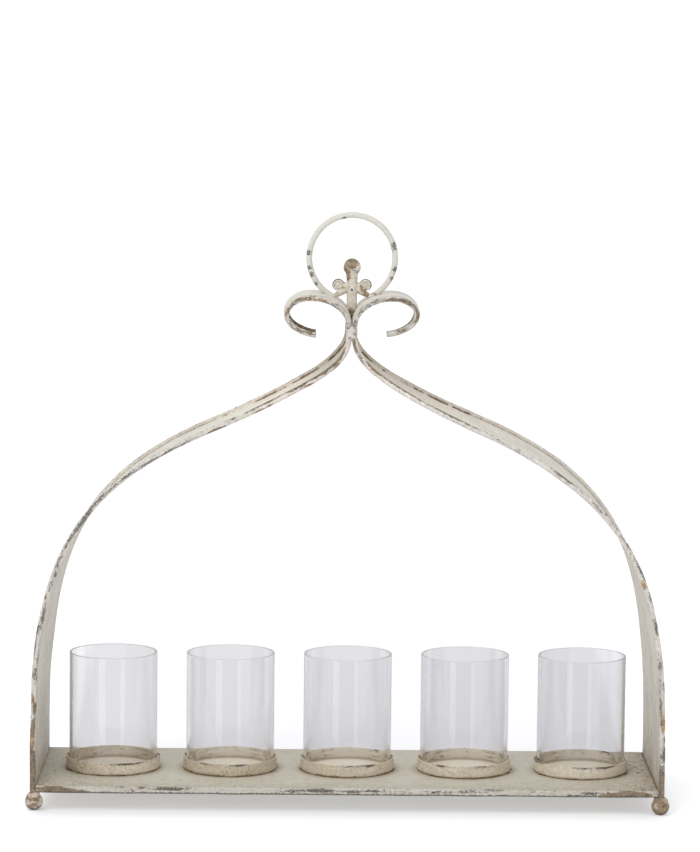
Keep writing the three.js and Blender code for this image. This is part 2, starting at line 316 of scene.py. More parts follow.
FINIAL_RUST = [
    ((-1, -6, 60), 8, 1.3), ((0, 6, 57), 8, 1.2), ((-6, -3, 51), 5, 1.0), ((-5, -4, 45), 4, 1.3),
    ((6, -4, 50), 3, 0.6), ((-14, -3, 29), 4, 0.7), ((12, -3, 31), 5, 0.8), ((0, -5, 9), 7, 1.2),
    ((16, -2, 27), 4, 0.8), ((5, -5, 39), 3, 0.9), ((-9, -3, 35), 3, 0.8), ((9, -4, 36), 3, 0.7),
]
FINIAL_BARE = [
    ((0, -7, 33), 1.7, 2.2), ((2, -8, 53), 2.5, 1.2), ((5, -3, 43), 2, 1.2), ((-5, -3, 43), 2, 1.2),
    ((0, -3, 4), 4, 1.3),
]
WELD_RUST = [((-3, 0, 5), 3, 0.8), ((3, 0, 0), 3, 0.8), ((-2, 0, -4), 3, 0.8)]

# Set of each hand-bent arm at runs from the foot in mm: its twist in degrees, positive with the back edge
# inward, and its shift outward in mm
SET_RUNS = [90, 130, 220, 300, 340, 440, 520, 575, 610, 700, 728, 750]
LEFT_SET = {"twist": [0.2, 1.2, 1.5, 2.1, 2.0, 1.5, 0.5, -1.0, 0.0, 0.0, 2.0, 2.4],
            "shift": [0.0, 0.0, 0.0, 0.0, 0.0, -1.2, 0.6, 0.0, 0.0, 0.0, 0.0, 0.0]}
RIGHT_SET = {"twist": [0.0, 0.5, 0.3, -0.3, -1.0, -1.1, -0.9, -0.3, 0.0, 0.0, 4.0, 4.8],
             "shift": [0.0, 0.0, -0.4, -2.0, -2.5, -2.7, -1.2, -0.8, 0.0, 0.0, 0.0, 0.0]}

# Worn places on each arm's front flange: run from the foot and half length in mm, strength, and place
# across the flange, from 0 at the bend to 1 at the rim
LEFT_WEAR = {
    "brown": [
        (12, 20, 2.0, 0.7), (22, 20, 1.2, 0.1), (40, 10, 1.4, 0.9), (62, 13, 1.8, 0.5), (86, 8, 1.4, 0.3),
        (195, 6, 0.9, 0.8), (218, 4, 1.1, 0.2), (435, 12, 1.4, 0.1), (485, 16, 0.75, 0.05),
        (490, 16, 1.0, 1.0), (530, 26, 0.8, 0.05), (530, 20, 1.2, 1.0), (568, 14, 0.6, 0.0),
        (575, 24, 1.3, 0.9), (632, 14, 0.7, 0.5), (655, 14, 0.85, 0.7), (680, 14, 1.0, 0.4),
        (700, 10, 0.9, 0.7), (722, 14, 0.75, 0.4), (742, 10, 0.9, 0.7),
    ],
    "ochre": [(52, 5, 1.2, 0.6), (94, 7, 1.4, 0.7), (670, 10, 1.0, 0.7), (708, 8, 0.9, 0.4)],
    "bare": [
        (35, 11, 1.0, 0.2), (76, 5, 0.7, 0.4), (118, 9, 1.0, 0.5), (128, 18, 0.8, 0.1), (146, 11, 1.4, 0.9),
        (162, 6, 1.3, 0.8), (177, 12, 1.7, 0.4), (206, 8, 1.2, 0.4), (228, 12, 1.0, 0.5),
        (255, 20, 1.3, 0.6), (276, 14, 1.0, 0.3), (298, 22, 1.35, 0.6), (335, 16, 1.2, 0.45),
        (360, 12, 1.0, 0.3), (380, 10, 1.1, 0.25), (400, 9, 1.0, 0.2), (452, 6, 0.9, 0.8),
        (480, 14, 0.9, 1.0), (520, 26, 1.1, 1.0), (556, 12, 1.1, 1.0), (616, 10, 0.8, 0.8),
        (644, 10, 1.0, 0.9), (668, 8, 0.9, 0.2), (715, 12, 0.8, 0.8),
    ],
}
RIGHT_WEAR = {
    "brown": [
        (12, 14, 2.0, 0.6), (18, 20, 1.0, 0.0), (45, 9, 1.2, 0.9), (170, 12, 0.9, 0.6), (560, 16, 1.3, 0.9),
        (594, 13, 1.0, 0.4), (616, 10, 0.6, 0.4), (640, 14, 0.7, 0.4), (662, 12, 0.8, 0.6),
        (684, 14, 1.0, 0.5), (706, 12, 1.1, 0.3), (735, 14, 0.85, 0.5),
    ],
    "ochre": [(74, 11, 1.6, 0.6), (214, 5, 1.5, 0.4), (712, 8, 0.8, 0.3)],
    "bare": [
        (28, 9, 1.1, 0.6), (40, 10, 0.8, 0.2), (58, 6, 0.8, 0.8), (90, 8, 0.9, 0.3), (110, 34, 0.62, 0.15),
        (110, 10, 0.8, 0.9), (134, 8, 1.0, 0.5), (170, 14, 1.0, 0.6), (198, 7, 1.0, 0.8),
        (226, 11, 1.2, 0.8), (258, 20, 0.9, 0.7), (300, 20, 0.9, 0.6), (347, 18, 1.3, 0.9),
        (395, 10, 0.7, 0.5), (420, 12, 0.8, 0.6), (468, 26, 1.5, 1.0), (528, 26, 1.5, 1.0),
        (582, 8, 1.1, 0.5), (612, 10, 0.9, 0.4), (632, 16, 0.9, 0.7), (652, 10, 0.8, 0.4),
        (672, 8, 0.9, 0.8), (696, 12, 0.9, 0.3),
    ],
}

# Worn places on the tray's front lip in the same way, from the middle and from 0 below to 1 above
LIP_WEAR = {
    "brown": [
        (-292, 17, 2.0, 0.5), (-266, 12, 1.5, 0.1), (-203, 6, 0.9, 0.95), (257, 9, 1.2, 0.2),
        (278, 13, 1.7, 0.6), (296, 9, 1.5, 0.3),
    ],
    "ochre": [],
    "bare": [
        (-252, 9, 0.9, 0.0), (-239, 4, 1.0, 0.0), (-225, 5, 0.8, 0.9), (-213, 3, 1.1, 0.4),
        (-176, 18, 1.6, 0.7), (-130, 8, 0.9, 0.1), (-107, 10, 0.9, 0.1), (-72, 12, 0.9, 0.2),
        (-55, 10, 1.0, 0.5), (-28, 15, 2.0, 0.6), (5, 12, 1.3, 0.5), (28, 10, 1.2, 0.6), (56, 16, 1.0, 0.3),
        (90, 14, 1.1, 0.5), (118, 12, 0.9, 0.6), (146, 10, 0.9, 0.9), (150, 20, 0.9, 0.0),
        (182, 3, 0.9, 0.8), (206, 11, 1.0, 0.0), (226, 11, 1.2, 0.2), (243, 9, 1.4, 0.5),
    ],
}
WEAR_SPREAD = {"brown": 0.45, "ochre": 0.45, "bare": 0.27}
WEAR_LIMIT = 1.8
LEAST_RUST = 0.01

# Scratches on the tray's top: place along and across, half sizes along and across (mm), and strength
TRAY_SCRATCHES = [
    (303, 82, 3, 4, 0.9), (299, 66, 3, 4, 0.9), (305, 52, 2, 5, 0.9), (297, 42, 3, 4, 1.0),
    (303, 28, 3, 4, 0.9), (295, 18, 3, 5, 1.0), (301, 4, 3, 5, 0.9), (296, -10, 3, 5, 0.9),
    (304, -26, 2, 6, 0.8), (289, 30, 3, 6, 1.0), (283, 78, 4, 6, 0.8), (294, -88, 3, 7, 0.9),
    (-299, 6, 3, 10, 0.7), (-295, -22, 3, 12, 0.65), (-303, -46, 2, 10, 0.7), (-290, 40, 3, 12, 0.6),
    (268, -20, 3, 8, 0.7), (-268, 62, 3, 8, 0.6),
]

# Chipped rims of the cups in turn: angle and half width in degrees, and strength
CUP_CHIPS = [
    [(-70, 20, 1.3), (2, 9, 1.0), (176, 8, 0.8)],
    [(-78, 9, 1.4), (-120, 20, 0.7), (20, 12, 0.7), (170, 8, 1.0)],
    [(-62, 7, 1.4), (-85, 14, 0.8), (46, 5, 1.2), (8, 9, 1.0), (160, 9, 1.0)],
    [(-120, 9, 1.2), (-70, 16, 0.7), (12, 8, 0.9), (150, 8, 0.8)],
    [(-60, 12, 1.3), (-90, 14, 0.9), (50, 10, 1.0), (185, 12, 1.0), (205, 10, 0.8)],
]

# Colours, as shares of red, green and blue
# The washes also colour the painted shade round inside corners
BROWN_WASH = (0.30, 0.215, 0.135)
OCHRE = (0.50, 0.30, 0.14)
BROWN = (0.25, 0.18, 0.105)
DARK_RUST = (0.12, 0.085, 0.055)
PRIMER = (0.79, 0.785, 0.77)
STEEL = (0.085, 0.076, 0.062)
STEEL_PALE = (0.20, 0.185, 0.155)
STEEL_MID = (0.15, 0.135, 0.11)
DARK_STEEL = (0.06, 0.048, 0.036)
OLIVE_WASH = (0.30, 0.245, 0.145)
TAN_WASH = (0.335, 0.24, 0.125)
UMBER_WASH = (0.31, 0.235, 0.135)
DARK_OLIVE = (0.155, 0.13, 0.08)
COOL_GREY = (0.51, 0.51, 0.485)
GLASS_CLEAR = (0.975, 0.975, 0.982)
GLASS_DARKENED = (0.925, 0.923, 0.936)
GLASS_GRAZING = (0.83, 0.83, 0.84)

# What the painted finishes share: noise scales per metre, detail and roughness of the ragged noises, weights,
# and the steps over which a share goes from none to full
RAGGED = (6.0, 0.68)
EDGE_WIDTH = 3.2 * MM
STREAK_SCALE = (22, 24, 24)
STREAK_GRIME = 0.10
STREAK_STEP = (0.47, 0.62)
FINE_SCALE = 260
TEXTURE_BRUSH = 0.4
FOLD_CREEP = 5 * MM
FOLD_START = -2.7 * MM
HALO_CREEP = 16 * MM
HALO_STEP = (-8 * MM, 3 * MM)
SOIL_GRIME = 0.16
SOIL_STEP = (0.46, 0.70)
SPOT_SCALE = 560
SPOT_GRIME = 0.05
SPOT_STEP = (0.655, 0.71)
FLECK_STEP = (0.55, 0.65)
FLAKE_SCALE = (230, 800, 800)
FLAKE_STEP = (0.2, 0.8)
FLAKE_RANGE = (0.11, 0.89)
CHIP_SCALE = 900
CHIP_SHARE = 0.34
CHIP_EDGE = 0.13
CHIP_BARE = 0.29
CHIP_LEVEL = 0.80
PRIMED_STEP = (CHIP_LEVEL - 0.13, CHIP_LEVEL - 0.03)
PRIMED_COVER = 0.3
CHIPPED_STEP = (CHIP_LEVEL - 0.02, CHIP_LEVEL + 0.03)
PIT_SCALE = (110, 320, 320)
PIT_RUST = 0.40
RUST_TONE_SCALE = 320
RUST_TONE_STEP = (0.40, 0.60)
STEEL_SCALE = 700
STEEL_STEP = (0.38, 0.66)
COVER = 0.92
WORN_ROUGHNESS = 0.18
RELIEF_HEIGHT = 0.22 * MM
RELIEF_WORN = -0.4
RELIEF_BRUSH = 0.5
RELIEF_FINE = 0.5
RUST_BAND = (-0.04, 0.05)

# Glass: its index, the scale and strength of its drawn streaks, and where grazing views darken it
GLASS_IOR = 1.46
DRAWN_SCALE = (30, 0.5, 0)
DRAWN_SHARE = 0.3
GRAZING_STEP = (0.38, 0.72)


class Graph:
    """Node tree of a material or a world, with a short call for each kind of node used here."""

    def __init__(self, owner):
        self.owner = owner
        owner.use_nodes = True
        self.tree = owner.node_tree

    def put(self, socket, value):
        if isinstance(value, bpy.types.NodeSocket):
            self.tree.links.new(value, socket)
        else:
            socket.default_value = (*value, 1.0) if socket.type == "RGBA" else value

    def node(self, kind, inputs=None, **settings):
        """Outputs of a new node."""
        made = self.tree.nodes.new(kind)
        for key, value in settings.items():
            setattr(made, key, value)
        for key, value in (inputs or {}).items():
            self.put(made.inputs[key], value)
        return made.outputs

    def attribute(self, name):
        return self.node("ShaderNodeAttribute", attribute_name=name)["Fac"]

    def vector(self, name):
        return self.node("ShaderNodeAttribute", attribute_name=name)["Vector"]

    def place(self):
        return self.node("ShaderNodeTexCoord")["Object"]

    def axes(self, vector):
        return self.node("ShaderNodeSeparateXYZ", {0: vector})

    def rays(self):
        return self.node("ShaderNodeLightPath")

    def stretch(self, vector, scale):
        return self.node("ShaderNodeVectorMath", {0: vector, 1: scale}, operation="MULTIPLY")[0]

    def noise(self, vector, scale, detail=3.0, rough=0.55):
        inputs = {"Vector": vector, "Scale": scale, "Detail": detail, "Roughness": rough}
        return self.node("ShaderNodeTexNoise", inputs)[0]

    def math(self, operation, a, b=0.0, **settings):
        return self.node("ShaderNodeMath", {0: a, 1: b}, operation=operation, **settings)[0]

    def times(self, a, b):
        return self.math("MULTIPLY", a, b)

    def plus(self, a, b, share):
        """a and a share of b."""
        return self.math("ADD", a, self.times(b, share))

    def most(self, a, b):
        return self.math("MAXIMUM", a, b)

    def blend(self, a, b, share):
        return self.node("ShaderNodeMix", {0: share, 2: a, 3: b})[0]

    def step(self, value, low, high, start=0.0, stop=1.0):
        inputs = {"Value": value, "From Min": low, "From Max": high, "To Min": start, "To Max": stop}
        return self.node("ShaderNodeMapRange", inputs, interpolation_type="SMOOTHSTEP")[0]

    def mix(self, share, a, b):
        return self.node("ShaderNodeMix", {0: share, 6: a, 7: b}, data_type="RGBA")[2]

    def bump(self, height, distance):
        return self.node("ShaderNodeBump", {"Height": height, "Distance": distance, "Strength": 1.0})[0]

    def finish(self, **inputs):
        """The material, with these inputs of its shader set."""
        shader = self.tree.nodes["Principled BSDF"]
        for key, value in inputs.items():
            self.put(shader.inputs[key.replace("_", " ")], value)
        return self.owner


def material_graph(name):
    return Graph(bpy.data.materials.new(name))


def distressed_paint(
        name, light, dark, wash, primer=PRIMER, rust_level=0.78, speckle=0.3, crevice=None, fold_share=0.7,
        streak=0.0, patch=1.0, gloss=0.60, edge_primer=0.2, edge_soil=0.0, metal=(STEEL, STEEL_PALE),
        brushing=(11, 330, 330), dirt_and_shade=BROWN_WASH, fold_width=2.1 * MM, fold_wash_and_shade=0.22, fleck=0.0,
        fleck_size=(420, 150, 150), mottle=24, blur=0.14, warm=None):
    """Brushed paint, worn to primer, rust and steel where the mesh says that it is exposed.

    rim and fold are distances to the nearest exposed edge and to the nearest inside corner; rust and bare are
    shares of wear, and grime is a share of grime that on the tray's ends and in the cups is painted shade as
    well; ochre is the bright share of the rust; warm is the share of the warm colour, where one is given;
    grain runs along the piece. A wide halo of the dirt colour round inside corners is partly painted shade.
    """
    g = material_graph(name)
    place = g.place()
    grain = g.vector("grain")
    # Share of grime, with painted shade in it on the tray's ends and in the cups
    grime = g.attribute("grime")
    edge = g.step(g.attribute("rim"), 0.0, EDGE_WIDTH, 1.0, 0.0)
    fold = crevice(g) if crevice else g.attribute("fold")

    broad = g.noise(place, mottle, 4.0)
    brush = g.noise(g.stretch(grain, brushing), 1.0, 4.0, 0.6)
    tone = g.step(g.blend(broad, brush, 0.5), 0.5 - blur, 0.5 + blur)
    paint = g.mix(tone, dark, light)
    if streak:
        wide = g.noise(g.stretch(grain, STREAK_SCALE), 1.0, *RAGGED)
        wide = g.plus(wide, grime, STREAK_GRIME)
        paint = g.mix(g.step(wide, *STREAK_STEP, 0.0, streak), paint, COOL_GREY)
    if warm:
        paint = g.mix(g.attribute("warm"), paint, warm)

    fine = g.noise(place, FINE_SCALE, *RAGGED)
    texture = g.blend(fine, brush, TEXTURE_BRUSH)
    creep = g.plus(fold, texture, -FOLD_CREEP)
    in_fold = g.step(creep, FOLD_START, fold_width + FOLD_START, fold_share, 0.0)
    # Glaze and painted shade: a wide halo of the dirt colour round inside corners
    halo_wash_and_shade = g.step(g.plus(fold, broad, -HALO_CREEP), *HALO_STEP, fold_wash_and_shade, 0.0)
    soiled = g.plus(g.plus(texture, grime, SOIL_GRIME), edge, edge_soil)
    glaze_and_shade = g.most(g.step(soiled, *SOIL_STEP, 0.0, wash), g.most(in_fold, halo_wash_and_shade))
    paint = g.mix(glaze_and_shade, paint, dirt_and_shade)
    spots = g.plus(g.noise(place, SPOT_SCALE, 2.0), grime, SPOT_GRIME)
    paint = g.mix(g.step(spots, *SPOT_STEP, 0.0, speckle), paint, DARK_RUST)
    if fleck:
        flecks = g.plus(g.noise(g.stretch(grain, fleck_size), 1.0, *RAGGED), grime, SPOT_GRIME)
        share = g.times(g.step(flecks, *FLECK_STEP, 0.0, fleck), g.math("MINIMUM", grime, 1.0))
        paint = g.mix(share, paint, DARK_OLIVE)

    flake = g.noise(g.stretch(grain, FLAKE_SCALE), 1.0, 7.0, 0.70)
    flake = g.blend(flake, g.noise(place, CHIP_SCALE, 2.0), CHIP_SHARE)
    flake = g.step(flake, *FLAKE_STEP, *FLAKE_RANGE)
    wear = g.plus(g.plus(flake, edge, CHIP_EDGE), g.attribute("bare"), CHIP_BARE)
    primed = g.most(g.step(wear, *PRIMED_STEP, 0.0, PRIMED_COVER), g.times(edge, edge_primer))
    chipped = g.step(wear, *CHIPPED_STEP)
    pitted = g.noise(g.stretch(grain, [patch * scale for scale in PIT_SCALE]), 1.0, 7.0, 0.72)
    eaten = g.plus(pitted, g.attribute("rust"), PIT_RUST)
    rusted = g.step(eaten, *(rust_level + edge for edge in RUST_BAND))

    rust_tone = g.mix(g.attribute("ochre"), BROWN, OCHRE)
    rust_mottle = g.step(g.noise(place, RUST_TONE_SCALE, 4.0, 0.68), *RUST_TONE_STEP)
    rust_tone = g.mix(rust_mottle, DARK_RUST, rust_tone)
    steel = g.mix(g.step(g.noise(place, STEEL_SCALE, 3.0), *STEEL_STEP), *metal)
    face = g.mix(primed, paint, primer)
    face = g.mix(g.times(rusted, COVER), face, rust_tone)
    face = g.mix(g.times(chipped, COVER), face, steel)

    bared = g.most(chipped, rusted)
    relief = g.plus(g.plus(g.times(bared, RELIEF_WORN), brush, RELIEF_BRUSH), fine, RELIEF_FINE)
    rough = g.step(bared, 0.0, 1.0, gloss, gloss + WORN_ROUGHNESS)
    return g.finish(Base_Color=face, Roughness=rough, Normal=g.bump(relief, RELIEF_HEIGHT))


def cup_gap(g):
    """Distance over the tray's top from the nearest cup's wall or inside corner, as a socket."""
    x, y, _ = g.axes(g.place())
    nearest = g.times(g.math("ROUND", g.math("DIVIDE", x, CUP_PITCH)), CUP_PITCH)
    across = g.math("SUBTRACT", x, nearest)
    squares = g.math("ADD", g.times(across, across), g.times(y, y))
    ring = g.math("SUBTRACT", g.math("SQRT", squares), CUP_RADIUS)
    return g.math("MINIMUM", g.math("ABSOLUTE", ring), g.attribute("fold"))


def clear_glass():
    """Drawn glass with a faint uneven tint, which lets light through to what stands behind it."""
    g = material_graph("clear_glass")
    drawn = g.noise(g.stretch(g.vector("grain"), DRAWN_SCALE), 1.0, 2.0)
    # The tint darkens from the first glass to the last as painted shade, and towards the bottom
    tint = g.mix(g.plus(g.attribute("smoke"), drawn, DRAWN_SHARE), GLASS_CLEAR, GLASS_DARKENED)
    grazing = g.node("ShaderNodeLayerWeight", {"Blend": 0.5})["Facing"]
    tint = g.mix(g.step(grazing, *GRAZING_STEP), tint, GLASS_GRAZING)
    g.finish(Base_Color=tint, Roughness=0.0, IOR=GLASS_IOR, Transmission_Weight=1.0)
    rays = g.rays()
    passing = g.most(rays["Is Shadow Ray"], rays["Is Diffuse Ray"])
    clear = g.node("ShaderNodeBsdfTransparent", {"Color": (0.99, 0.99, 0.99)})[0]
    solid = g.tree.nodes["Principled BSDF"].outputs[0]
    shown = g.node("ShaderNodeMixShader", {0: passing, 1: solid, 2: clear})[0]
    g.put(g.tree.nodes["Material Output"].inputs["Surface"], shown)
    return g.owner


def ground_edge():
    """Ground rim of the glass, pale and half clear."""
    g = material_graph("glass_edge")
    tone = g.mix(g.noise(g.vector("grain"), 300, 3.0), (0.74, 0.75, 0.75), (0.82, 0.83, 0.83))
    return g.finish(Base_Color=tone, Roughness=0.35, IOR=GLASS_IOR, Transmission_Weight=0.4)


def cup_finish(name, dirt_and_shade):
    return distressed_paint(
        name, light=(0.80, 0.75, 0.64), dark=(0.72, 0.655, 0.53), wash=0.45, primer=(0.82, 0.79, 0.72),
        speckle=0.6, edge_primer=0.0, edge_soil=0.05, fold_share=0.8, metal=(DARK_STEEL, DARK_RUST),
        brushing=(60, 200, 200), dirt_and_shade=dirt_and_shade, blur=0.24)


arm_paint = distressed_paint(
    "arm_paint", light=(0.79, 0.765, 0.70), dark=(0.70, 0.67, 0.595), wash=0.42, primer=(0.73, 0.715, 0.735),
    streak=0.45, edge_soil=0.05, fold_width=1.3 * MM, fold_wash_and_shade=0.06, fleck=0.7, fleck_size=(75, 210, 210),
    warm=(0.83, 0.755, 0.64))
ring_paint = distressed_paint(
    "ring_paint", light=(0.715, 0.71, 0.655), dark=(0.645, 0.635, 0.57), wash=0.4, primer=(0.76, 0.75, 0.73))
# On the tray the wide halo paints shade round the cups and beside the arms, as well as grime
tray_paint = distressed_paint(
    "tray_paint", light=(0.585, 0.56, 0.485), dark=(0.535, 0.508, 0.43), wash=0.5, primer=(0.61, 0.61, 0.60),
    speckle=0.35, crevice=cup_gap, edge_soil=0.05, metal=(DARK_STEEL, STEEL_MID), brushing=(40, 90, 90),
    dirt_and_shade=UMBER_WASH, fleck=0.75, fold_wash_and_shade=0.42)
cup_paint = cup_finish("cup_paint", OLIVE_WASH)
warm_cup_paint = cup_finish("warm_cup_paint", TAN_WASH)
foot_paint = distressed_paint(
    "foot_paint", light=(0.71, 0.63, 0.53), dark=(0.17, 0.125, 0.085), wash=0.6, primer=(0.72, 0.68, 0.61),
    rust_level=0.80, speckle=0.6, gloss=0.21, metal=(DARK_STEEL, BROWN), brushing=(190, 190, 190), mottle=140,
    blur=0.07)
finial_paint = distressed_paint(
    "finial_paint", light=(0.79, 0.765, 0.70), dark=(0.62, 0.57, 0.47), wash=0.65, primer=(0.76, 0.74, 0.70),
    speckle=0.8, patch=1.3, gloss=0.45, metal=(DARK_STEEL, STEEL), brushing=(240, 240, 240), mottle=180,
    blur=0.10)
weld_paint = distressed_paint(
    "weld_paint", light=(0.74, 0.73, 0.72), dark=(0.56, 0.51, 0.46), wash=0.6, primer=(0.70, 0.69, 0.73),
    patch=1.3, brushing=(240, 240, 240), mottle=180, blur=0.10)
glass_finish = clear_glass()
edge_finish = ground_edge()


# Helpers for shapes and wear
def ripple(points, size, seed):
    """Smooth noise from -1 to 1 at each point, with features of about the given size."""
    shift = Vector([seed * way for way in SEED_WAY])
    return np.array([noise.noise(Vector(p) / size + shift) for p in points])


def mottled(points, patches, index):
    """Smooth noise at each point with a given mean and swing, and with its own seed for each index."""
    seed, size, mean, swing = patches
    return mean + swing * ripple(points, size, seed + index)


def uneven(run, places, wave, seed):
    """Offsets at one run along a strip, from one wave: its layer of noise, size and reach."""
    layer, size, reach = wave
    return reach * ripple([(run, place, layer) for place in places], size, seed)


def soft(gap, width):
    """Share that falls off smoothly from 1 over about a width."""
    return np.exp(-(gap / width) ** 2)


def worn(run, rise, spots, spread):
    """Share of wear at each rise across a strip, at one run along it."""
    total = np.zeros(len(rise))
    for centre, half, strength, place in spots:
        total += strength * soft(run / MM - centre, half) * soft(rise - place, spread)
    return np.minimum(total, WEAR_LIMIT)


def both_sides(front, run, rise, front_wear, back_wear):
    """Rust, its ochre share and bare metal at each point of a section that has a front and a back strip."""
    share = {}
    for kind, spread in WEAR_SPREAD.items():
        share[kind] = np.where(front, worn(run, rise, front_wear[kind], spread),
                               worn(run, rise, back_wear[kind], spread))
    rust = np.maximum(share["brown"], share["ochre"])
    return rust, share["ochre"] / np.maximum(rust, LEAST_RUST), share["bare"]


def gather(rows):
    """Attributes of a whole piece from those of its sections in turn."""
    return {key: np.concatenate([row[key] for row in rows]) for key in rows[0]}


def rounded_loop(corners, radii, spans, arc_steps=4, support=0.3 * MM):
    """Closed outline with square corners rounded, and the corner that each point belongs to or -1.

    Each straight run has a point close to both of its ends and spans - 1 more between them.
    """
    corners = np.array(corners)
    points, owner = [], []
    count = len(corners)
    for k, (corner, radius) in enumerate(zip(corners, radii)):
        back = corners[k - 1] - corner
        ahead = corners[(k + 1) % count] - corner
        back = back / np.linalg.norm(back)
        ahead = ahead / np.linalg.norm(ahead)
        centre = corner + (back + ahead) * radius
        turns = np.linspace(0, math.pi / 2, arc_steps + 1) if radius else [0.0]
        for turn in turns:
            points.append(centre - radius * (ahead * math.cos(turn) + back * math.sin(turn)))
            owner.append(k)
        start = corner + ahead * (radius + support)
        stop = corners[(k + 1) % count] - ahead * (radii[(k + 1) % count] + support)
        for share in np.linspace(0, 1, spans[k] + 1):
            points.append(start + (stop - start) * share)
            owner.append(-1)
    return np.array(points), np.array(owner)


def circle(count):
    """Even turns all the way round."""
    return np.linspace(0, 2 * math.pi, count, endpoint=False)


def directions(path):
    """Unit tangents along a path."""
    tangent = np.gradient(path, axis=0)
    return tangent / np.linalg.norm(tangent, axis=1)[:, None]


def along_loop(points, owner, corners):
    """Distance along a closed outline from each point to the nearest of the given corners."""
    step = np.linalg.norm(np.roll(points, -1, 0) - points, axis=1)
    place = np.concatenate([[0], np.cumsum(step)[:-1]])
    marks = place[np.isin(owner, corners)]
    gap = np.abs(place[:, None] - marks[None, :])
    return np.minimum(gap, step.sum() - gap).min(1)


def skin(rings, wrap=False):
    """Points and faces of a surface through closed rings, capped unless it wraps round."""
    count, size = rings.shape[:2]
    ids = np.arange(count * size).reshape(count, size)
    low = ids if wrap else ids[:-1]
    high = np.roll(ids, -1, 0) if wrap else ids[1:]
    quads = np.stack([low, np.roll(low, -1, 1), np.roll(high, -1, 1), high], -1).reshape(-1, 4).tolist()
    if not wrap:
        quads += [ids[0][::-1].tolist(), ids[-1].tolist()]
    return rings.reshape(-1, 3), quads


def clean(mesh):
    """Joins points that coincide, and turns all faces outward."""
    work = bmesh.new()
    work.from_mesh(mesh)
    bmesh.ops.remove_doubles(work, verts=work.verts, dist=MERGE_GAP)
    bmesh.ops.recalc_face_normals(work, faces=work.faces)
    work.to_mesh(mesh)
    work.free()


def add(name, data):
    """New object in the scene."""
    made = bpy.data.objects.new(name, data)
    bpy.context.scene.collection.objects.link(made)
    return made


def build(name, points, faces, material, **values):
    """Mesh object with smooth faces that point out, and one attribute for each value array."""
    mesh = bpy.data.meshes.new(name)
    mesh.from_pydata(np.asarray(points).tolist(), [], faces)
    for key, value in values.items():
        value = np.asarray(value, np.float32)
        kind, field = ("FLOAT_VECTOR", "vector") if value.ndim > 1 else ("FLOAT", "value")
        mesh.attributes.new(key, kind, "POINT").data.foreach_set(field, value.ravel())
    clean(mesh)
    mesh.shade_smooth()
    mesh.materials.append(material)
    return add(name, mesh)


def dress(piece, node):
    """The piece stands for a solid, on that solid's body."""
    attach(piece, frame["nodes"][node]["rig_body"])
    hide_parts(node)


# Arms
def bezier(a, b, c, d):
    t = np.linspace(0, 1, CURVE_POINTS)[:, None]
    return (1 - t) ** 3 * a + 3 * (1 - t) ** 2 * t * b + 3 * (1 - t) * t ** 2 * c + t ** 3 * d


def ellipse(centre, wide, high, start, stop):
    turn = np.radians(np.linspace(start, stop, ARC_POINTS))
    return np.stack([centre[0] + wide * np.cos(turn), centre[1] + high * np.sin(turn)], 1)


def arm_path():
    """Even points on the right arm's smooth face in XZ, the outward directions, and the runs."""
    slope = np.array([-math.cos(BEND_SLOPE), math.sin(BEND_SLOPE)])
    foot = np.array([TRAY_REACH, FOOT_TOP])
    leg = foot + [0, LEG_RISE]
    bend = np.array([BEND_REACH, FOOT_TOP + BEND_RISE])
    neck = np.array([NECK_HALF_GAP, FOOT_TOP + NECK_RISE])
    side = NECK_TOP + SCROLL_TOP_RISE - SCROLL_SIDE_DROP
    top = (SCROLL_TOP_REACH, NECK_TOP)
    curve = np.vstack([
        np.linspace(foot, leg, LEG_POINTS),
        bezier(leg, leg + [0, LEG_HANDLE], bend - slope * BEND_LOWER_HANDLE, bend),
        bezier(bend, bend + slope * BEND_UPPER_HANDLE, neck - [0, NECK_HANDLE], neck),
        ellipse(top, SCROLL_TOP_REACH - NECK_HALF_GAP, SCROLL_TOP_RISE, 180, 90),
        ellipse((SCROLL_TOP_REACH, side), SCROLL_SIDE_REACH - SCROLL_TOP_REACH, SCROLL_SIDE_DROP, 90, 0),
        ellipse((SCROLL_TAIL_REACH, side), SCROLL_SIDE_REACH - SCROLL_TAIL_REACH, SCROLL_TAIL_DROP, 0,
                -SCROLL_TAIL_SWEEP),
    ])
    length = np.concatenate([[0], np.cumsum(np.linalg.norm(np.diff(curve, axis=0), axis=1))])
    runs = np.linspace(0, length[-1], round(length[-1] / ARM_STEP) + 1)
    path = np.stack([np.interp(runs, length, curve[:, 0]), np.interp(runs, length, curve[:, 1])], 1)
    tangent = directions(path)
    return path, np.stack([tangent[:, 1], -tangent[:, 0]], 1), runs


def channel(depth):
    """Section of the strap as [outward, across] points, with the corner of each."""
    edge = depth / 2
    inside = edge - SHEET
    corners = [
        (0, -edge), (ARM_FLANGE, -edge), (ARM_FLANGE, -inside), (SHEET, -inside),
        (SHEET, inside), (ARM_FLANGE, inside), (ARM_FLANGE, edge), (0, edge),
    ]
    radii = [BEND_ROUND, RIM_ROUND, RIM_ROUND, CORNER_ROUND, CORNER_ROUND, RIM_ROUND, RIM_ROUND, BEND_ROUND]
    return rounded_loop(corners, radii, [2, 1, 2, 14, 2, 1, 2, 14])


